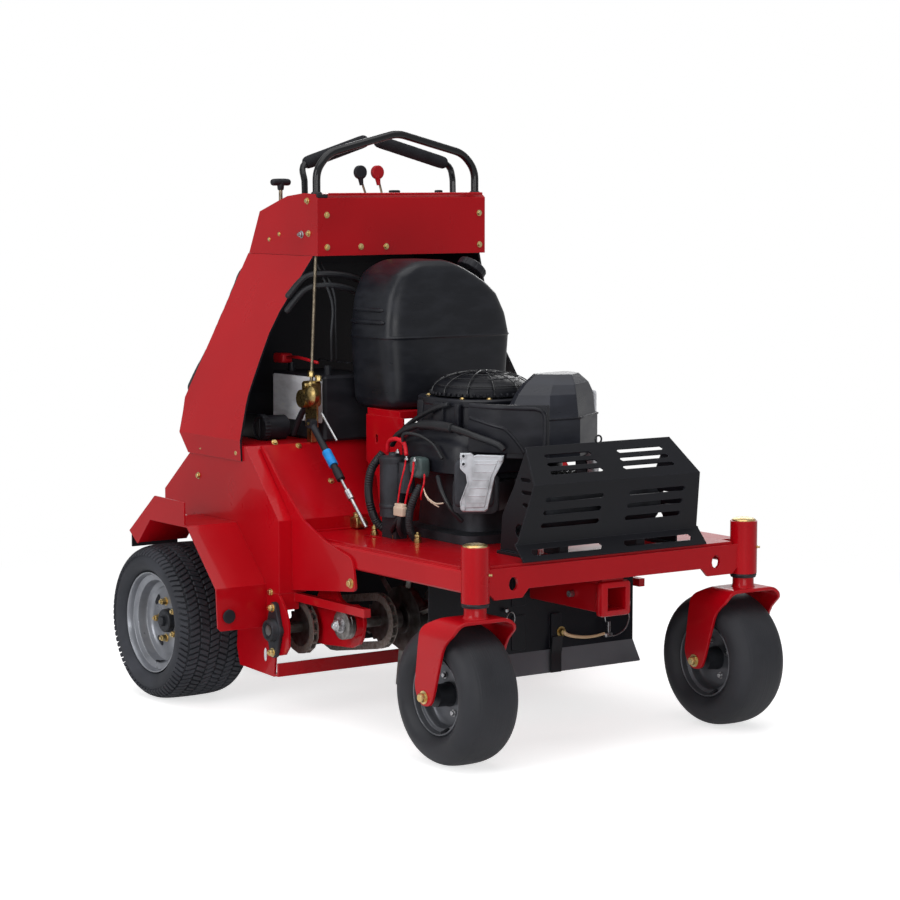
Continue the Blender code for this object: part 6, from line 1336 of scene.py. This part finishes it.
fixed("valve_rod", rod((-0.27, 0.796, 0.714), (-0.27, 0.7285, 0.653), 0.0032, 8, 10), STEEL)
link_top, link_end = np.array([(-0.292, 0.8106, 0.6947), (-0.292, 0.6762, 0.5654)])
band = [link_top + k * (link_end - link_top) for k in (0.52, 0.76)]
fixed("blue_band", rod(*band, 0.0116, 6, 20), BLUE_BAND)
valve_bits = joined(bolts([(-0.2895, 0.833, 0.78)], -X, 0.0065, 1.2, 1.0),
                    bolts([(-0.27, 0.8445, 0.8), (-0.26, 0.826, 0.79)], Z, 0.008, 1.2, 1.6),
                    turned([(0, 0.0225), (0.003, 0.0235), (0.012, 0.0235), (0.016, 0.02),
                            (0.02, 0.012), (0.0215, 0.003)], (-0.284, 0.806, 0.758), -X, 30))
fixed("valve_fittings", valve_bits, BRASS)

# Hoses and control cables behind the valve and under the console.

BAY_HOSES = [hose([(-0.3, 0.905, 0.99), (-0.262, 0.88, 1.04), (-0.215, 0.862, 1.048),
                   (-0.15, 0.858, 1.04), (-0.08, 0.88, 1.02)], 0.0082, 40),
             hose([(-0.3, 0.91, 0.955), (-0.262, 0.885, 1.008), (-0.215, 0.865, 1.02),
                   (-0.15, 0.862, 1.01), (-0.08, 0.885, 0.985)], 0.0082, 40),
             hose([(-0.23, 0.88, 1.075), (-0.205, 0.85, 0.98), (-0.212, 0.842, 0.9),
                   (-0.206, 0.85, 0.835)], 0.0035, 40),
             hose([(-0.215, 0.885, 1.075), (-0.196, 0.855, 1.0), (-0.198, 0.846, 0.92),
                   (-0.19, 0.855, 0.835)], 0.003, 40),
             hose([(-0.268, 0.86, 0.735), (-0.262, 0.905, 0.7), (-0.262, 0.94, 0.65)], 0.008, 30)]
fixed("bay_hoses", joined(*BAY_HOSES), HOSE_RUBBER)

# Pumps under the deck, behind the lift tube.

PUMP_X, PUMP_Y, PUMP_Z = 0.15, 0.738, 0.368
PUMPS = []
for x in (-PUMP_X, PUMP_X):
    PUMPS += [block((x, PUMP_Y, PUMP_Z), (0.058, 0.046, 0.03)),
              turned([(0, 0.026), (0.003, 0.028), (0.02, 0.028), (0.024, 0.022)],
                     (x - 0.056, PUMP_Y, PUMP_Z),
                     -X, 32),
              turned([(0, 0.02), (0.012, 0.02), (0.014, 0.014)], (x, PUMP_Y - 0.044, PUMP_Z), -Y,
                     24)]
PUMPS.append(turned([(-0.092, 0.016), (0.092, 0.016)], (0, PUMP_Y, PUMP_Z), X, 20))
fixed("drive_pumps", joined(*PUMPS), CAST_IRON)

# Belt guard behind the pumps, and the bead that closes the deck's rear edge.

fixed("belt_guard", slab((-0.33, 0.33), (0.7985, 0.8015), (0.15, 0.41), 0.0005), BLACK_PAINT)
fixed("deck_bead", rod((-0.4, 0.692, 0.4452), (0.4, 0.692, 0.4452), 0.0032), RED_PAINT)

# Drum ends: a steel hub with a cone nut outside each lift arm.

DRUM_Y, DRUM_Z, DRUM_END = 0.505, 0.25, 0.3835
DRUM_HUB = [(0.0, 0.026), (0.001, 0.0345), (0.0105, 0.0345), (0.0115, 0.033), (0.0125, 0.033),
            (0.0135, 0.0345), (0.02, 0.0345), (0.0215, 0.031), (0.0218, 0.02)]
for side, s in SIDES:
    end, out = np.array((s * DRUM_END, DRUM_Y, DRUM_Z)), (s, 0, 0)
    nut = joined(bolts([end + (s * 0.0215, 0, 0)], out, 0.015, 1.3, 0.9),
                 turned([(0.034, 0.011), (0.038, 0.0105), (0.044, 0.007), (0.046, 0.003)], end, out,
                        20))
    piece("drum_hub_" + side, "coring_drum", turned(DRUM_HUB, end, out, 44), DARK_STEEL)
    piece("drum_nut_" + side, "coring_drum", nut, STEEL)

# Front shield: latch lever, hinge bolt, strap, wire rings.

lever = pipe(spline([(0.074, 0.284, 0.217), (0.088, 0.276, 0.209), (0.12, 0.27, 0.2025),
                     (0.155, 0.268, 0.2015), (0.186, 0.268, 0.205)], 30),
             np.interp(np.linspace(0, 1, 30), [0, 0.3, 1], [0.005, 0.0042, 0.0032]), 12)
fixed("shield_latch_lever", lever, TAN_LEVER)
fixed("shield_latch_bolt", bolts([(0.0735, 0.2905, 0.2175)], -Y, 0.0085, 1.5, 1.1), BRASS)
clevis = joined(block((0.196, 0.268, 0.201), (0.011, 0.006, 0.005)),
                block((0.1985, 0.268, 0.218), (0.004, 0.0035, 0.015)))
fixed("shield_clevis", clevis, STEEL)
strap_path = spline([(0.06, 0.2875, 0.208), (0.056, 0.285, 0.18), (0.05, 0.28, 0.166),
                     (0.04, 0.267, 0.143), (0.034, 0.259, 0.13)], 20)
section = np.array([(-0.015, -0.0025), (0.015, -0.0025), (0.0155, 0.0), (0.015, 0.0025),
                    (-0.015, 0.0025), (-0.0155, 0.0)])
strap = lattice(strap_path[:, None] + section[None, :, :1] * X + section[None, :, 1:] * Y)
fixed("shield_strap", strap, HOSE_RUBBER)
RINGS = [wire_ring((-0.077, 0.286, 0.262), 0.0165, 0.0014, (0.35, -1, 0)),
         wire_ring((0.272, 0.284, 0.266), 0.013, 0.0013, (0.8, -1, 0)),
         hose([(0.27, 0.284, 0.253), (0.266, 0.276, 0.23), (0.245, 0.27, 0.206),
               (0.212, 0.268, 0.196)], 0.0016),
         hose([(0.196, 0.276, 0.23), (0.19, 0.276, 0.26), (0.184, 0.276, 0.276)], 0.0016)]
fixed("shield_rings", joined(*RINGS), STEEL)
fixed("shield_ring_pin", block((-0.087, 0.29, 0.283), (0.005, 0.005, 0.0055), power=0.6), STEEL)
TOE_OUT = unit(np.array((0.0, -0.848, 0.53)))
a = angles(24)
OVAL = plate(np.column_stack([0.0185 * np.cos(a), 0.0085 * np.sin(a)]), 0.0012)
toe_places = [(x, 0.2862, 0.147) for x in (-0.215, 0.179, 0.262)]
# Painted shade: dark ovals on the toe stand for its cutouts, dark behind.
fixed("shield_ovals", copies(OVAL, toe_places, TOE_OUT), HOSE_RUBBER)
SHIELD_PAD = plate(rounded_plan(0.014, 0.036, 0.006, 4), 0.003)
pad_places = [(x, 0.3002, z) for x, z in ((-0.045, 0.225), (-0.045, 0.33), (-0.22, 0.225))]
fixed("shield_pads", copies(SHIELD_PAD, pad_places, -Y), BLACK_PAINT)

# Sides of the body: bolts through the panels, flange bearings, and a dark strip behind each tyre's
# top as painted shade.

BODY_SIDE, SHAFT_Y, SHAFT_Z, EAR = 0.4552, 0.707, 0.216, 0.0535
BODY_BOLTS = [(1.0543, 0.6218), (0.8837, 0.6216), (1.0724, 0.5498)]
SIDE_PLATE_BOLTS = [(0.7332, 0.302), (0.76, 0.2266), (0.73, 0.156)]
SLOPE_BOLTS = [(0.3711, 0.6449), (0.3093, 0.634), (0.2643, 0.5524)]
SLOPE_Y, SLOPE_Z, SLOPE_RATE, SLOPE_OUT = 0.6945, 0.476, 0.1506 / 0.164, (0, -0.737, 0.676)
FLANGE_LINE = np.vstack([arc_points((0.018, 0.0), 0.0155, -52, 52, 7),
                         arc_points((0.0, 0.052), 0.015, 40, 140, 8),
                         arc_points((-0.018, 0.0), 0.0155, 128, 232, 7),
                         arc_points((0.0, -0.052), 0.015, 220, 320, 8)])
BEARING_BOSS = [(0.006, 0.03), (0.016, 0.0268), (0.025, 0.025), (0.0262, 0.0236), (0.0262, 0.019),
                (0.0225, 0.018), (0.0225, 0.0135), (0.006, 0.0135)]
FENDER_PLUG = [(0.0, 0.0165), (0.003, 0.0165), (0.0042, 0.015), (0.0042, 0.002)]
for side, s in SIDES:
    out = (s, 0, 0)
    fixed("body_side_bolts_" + side, bolts(in_plane(s * BODY_SIDE, BODY_BOLTS), out, 0.0064),
          ZINC_GOLD)
    fixed("gusset_bolt_" + side, bolts([(s * 0.4194, 0.4401, 0.3571)], out, 0.0084, 1.4, 0.8),
          ZINC_GOLD)
    seat = np.array((s * (BODY_SIDE + 0.0001), SHAFT_Y, SHAFT_Z))
    flange = copies(plate(FLANGE_LINE, 0.012, 0.0016), [seat], out)
    bearing = joined(flange, turned(BEARING_BOSS, seat, out, 36, closed=True))
    fixed("flange_bearing_" + side, bearing, CAST_IRON, ("bearing_" + side,), 30)
    ears = [seat + (s * 0.012, 0, height) for height in (EAR, -EAR)]
    fixed("bearing_bolts_" + side, bolts(ears, out, 0.0085, 1.3, 1.0, 0.4), ZINC_GOLD)
    fixed("side_plate_bolts_" + side,
          bolts(in_plane(s * BODY_SIDE, SIDE_PLATE_BOLTS), out, 0.0068, height=0.8), ZINC_GOLD)
    clip = block((s * 0.457, 0.756, 0.149), (0.0052, 0.016, 0.0025), out, power=0.8)
    fixed("grease_clip_" + side, clip, LABEL_GREY)
    plug = turned(FENDER_PLUG, (s * 0.562, 0.7482, 0.252), -Y, 32)
    fixed("fender_plug_" + side, plug, BLACK_PLASTIC)
    # Painted shade: a dark rubber strip behind the tyre's top closes the gap under the fender,
    # which is dark with shade.
    flap = slab((s * 0.458, s * 0.586), (1.176, 1.1795), (0.3715, 0.402), 0.001, 0.996)
    fixed("painted_shade_strip_" + side, flap, HOSE_RUBBER)
    places = [(s * x, SLOPE_Y + (z - SLOPE_Z) * SLOPE_RATE, z) for x, z in SLOPE_BOLTS]
    fixed("bay_slope_bolts_" + side, bolts(places, SLOPE_OUT, 0.006), ZINC_GOLD)

# Bolts of the muffler guard.

guard_bolts = [(-0.2251, 0.03, 0.5171), (-0.2167, 0.03, 0.4876)]
fixed("guard_bolts", bolts(guard_bolts, (-0.9, -0.4, 0), 0.005, 1.3, 0.6), BAR_PAINT)


# Thigh pad: the solid remeshed, blown up as cloth, capped and welted.

PAD_CAP, PAD_VOXEL, PAD_SHRINK, PAD_GAP = 0.016, 0.006, 0.001, 0.0006
PAD_PRESSURE, PAD_FRAMES = 4.0, 20


def evaluated(thing):
    """The object's mesh with its modifiers applied."""
    graph = bpy.context.evaluated_depsgraph_get()
    return bpy.data.meshes.new_from_object(thing.evaluated_get(graph))


def corners_of(mesh, key="co"):
    """The places, or the normals, of a mesh's vertices."""
    values = np.empty(len(mesh.vertices) * 3)
    mesh.vertices.foreach_get(key, values)
    return values.reshape(-1, 3)


def pad_mesh():
    """The solid in small even faces, drawn in along its normals, then swollen
    by cloth pressure; each move is cut to the cap and stops at the tower."""
    mesh = joined_copy("thigh_pad")
    solid = corners_of(mesh)
    middle = (solid.min(0) + solid.max(0)) / 2
    across, along, thick = np.linalg.svd(solid - solid.mean(0), full_matrices=False)[2]
    thick = thick * np.sign(thick[1])
    back = ((solid - middle) @ thick).min()
    work = added("pad_work", mesh)
    remesh = work.modifiers.new("remesh", "REMESH")
    remesh.mode, remesh.voxel_size = "VOXEL", PAD_VOXEL
    soften = work.modifiers.new("soften", "SMOOTH")
    soften.factor, soften.iterations = 0.5, 10
    work.data = evaluated(work)
    work.modifiers.clear()
    rest = corners_of(work.data) - corners_of(work.data, "normal") * PAD_SHRINK
    work.data.vertices.foreach_set("co", rest.ravel())
    cloth = work.modifiers.new("cloth", "CLOTH")
    cloth.settings.use_pressure = True
    cloth.settings.uniform_pressure_force = PAD_PRESSURE
    cloth.settings.effector_weights.gravity = 0.0
    for step in range(1, PAD_FRAMES + 1):
        bpy.context.scene.frame_set(step)
    blown = evaluated(work)
    move = corners_of(blown) - rest
    bpy.context.scene.frame_set(1)
    work.modifiers.clear()
    reach = np.linalg.norm(move, axis=1, keepdims=True)
    rest = rest + move * np.minimum(1.0, PAD_CAP / np.maximum(reach, 1e-9))
    depth = (rest - middle) @ thick
    rest = rest + np.outer(np.maximum(back + PAD_GAP - depth, 0.0), thick)
    work.data.vertices.foreach_set("co", rest.ravel())
    mesh = work.data
    bpy.data.objects.remove(work)
    return mesh, rest, middle, across, along, thick


cushion, cushion_points, pad_middle, pad_across, pad_along, pad_thick = pad_mesh()
pad = dressed("pad_cushion", "chassis", cushion, PAD_VINYL, ("thigh_pad",), 60)
smoother = pad.modifiers.new("smoother", "SUBSURF")
smoother.levels = smoother.render_levels = 1


def welt_path(points, count=144):
    """The pad's edge seen along its thickness: in each of count directions the
    point that lies furthest out, then a running mean of seven."""
    flat = np.column_stack([(points - pad_middle) @ pad_across, (points - pad_middle) @ pad_along])
    half = np.abs(flat).max(0)
    turn = np.floor((np.arctan2(flat[:, 1] / half[1], flat[:, 0] / half[0]) / TAU
                     + 0.5) * count).astype(int) % count
    reach = np.abs(flat / half).max(1) + 0.3 * np.linalg.norm(flat / half, axis=1)
    order = np.lexsort((reach, turn))
    last = np.append(np.flatnonzero(np.diff(turn[order])), len(order) - 1)
    edge = points[order[last]]
    wrapped = np.vstack([edge[-3:], edge, edge[:3]])
    smooth = np.mean([wrapped[k:k + len(edge)] for k in range(7)], axis=0)
    depth = (smooth - pad_middle) @ pad_thick
    smooth = smooth - np.outer(depth - np.median(depth), pad_thick)
    return smooth - (0.0, STEM_Y, 0.0)


edge = welt_path(cushion_points)
fixed("pad_welt", pipe(np.vstack([edge, edge[:2]]), 0.0036, 10), PAD_VINYL)


# Studio: pale floor, white surround, soft lamps.

def area_lamp(name, place, target, size, power):
    """A rectangular lamp that looks at the target."""
    data = bpy.data.lights.new(name, "AREA")
    data.shape, data.size, data.size_y, data.energy = "RECTANGLE", size[0], size[1], power
    lamp = added(name, data)
    lamp.location = place
    lamp.rotation_euler = (Vector(target) - Vector(place)).to_track_quat("-Z", "Y").to_euler()


area_lamp("overhead_lamp", (-0.6, -0.6, 4.2), (0, 0, 0.5), (4.5, 4.5), 96)
area_lamp("left_lamp", (-4.6, -1.0, 2.3), (0, 0, 0.6), (2.6, 2.6), 78)
area_lamp("front_lamp", (-2.2, -5.4, 1.3), (0, 0, 0.45), (3.0, 1.6), 62)
area_lamp("rear_lamp", (3.4, 3.4, 2.6), (0, 0, 0.7), (3.0, 2.0), 50)

world = bpy.data.worlds.new("surround")
bpy.context.scene.world = world
world.use_nodes = True
sky = Nodes(world.node_tree)
rays = sky.tree.nodes.new("ShaderNodeLightPath")
shows = Val(sky,
            rays.outputs["Is Camera Ray"]).maximum(Val(sky, rays.outputs["Is Transmission Ray"]))
shows = shows.maximum(Val(sky, rays.outputs["Is Glossy Ray"]) * 0.3)
background = sky.tree.nodes["Background"]
background.inputs["Color"].default_value = (1.0, 1.0, 1.0, 1.0)
sky.feed(background.inputs["Strength"], 0.24 + shows * 0.76)


def floor_finish():
    """Pale floor: takes the shadow near the machine and fades to white away
    from it, by the distance from the machine's middle."""
    material = bpy.data.materials.new("studio_floor")
    material.use_nodes = True
    n = Nodes(material.node_tree)
    n.tree.nodes.clear()
    place = n.node("TexCoord", out="Object")
    mottle = n.node("TexNoise", {}, {"Vector": place, "Scale": 2.0})
    tint = n.node("Mix", {"data_type": "RGBA"},
                  {0: mottle, 6: (0.8, 0.8, 0.81, 1), 7: (0.83, 0.83, 0.83, 1)}, 2)
    matt = n.node("BsdfDiffuse", {}, {"Color": tint})
    rays = n.tree.nodes.new("ShaderNodeLightPath")
    shown = Val(n,
                rays.outputs["Is Camera Ray"]).maximum(Val(n, rays.outputs["Is Glossy Ray"]) * 0.4)
    near = n.node("AddShader", {}, {0: matt, 1: n.node("Emission", {}, {"Strength": shown * 0.66})})
    far = n.node("Emission", {}, {"Strength": 0.3 + shown * 0.7})
    away = n.node("VectorMath", {"operation": "LENGTH"}, {0: place}, "Value")
    fade = n.node("MapRange", {"interpolation_type": "SMOOTHSTEP"},
                  {"Value": away, "From Min": 1.2, "From Max": 2.6})
    end = n.tree.nodes.new("ShaderNodeOutputMaterial")
    n.feed(end.inputs["Surface"], n.node("MixShader", {}, {0: fade, 1: near, 2: far}))
    return material


FLOOR_HALF, FLOOR_Z = 30, -0.0004
floor_corners = [(x * FLOOR_HALF, y * FLOOR_HALF, FLOOR_Z)
                 for x, y in ((-1, -1), (1, -1), (1, 1), (-1, 1))]
floor_mesh = bpy.data.meshes.new("floor")
floor_mesh.from_pydata(floor_corners, [], [(0, 1, 2, 3)])
floor_mesh.materials.append(floor_finish())
floor = added("floor", floor_mesh)
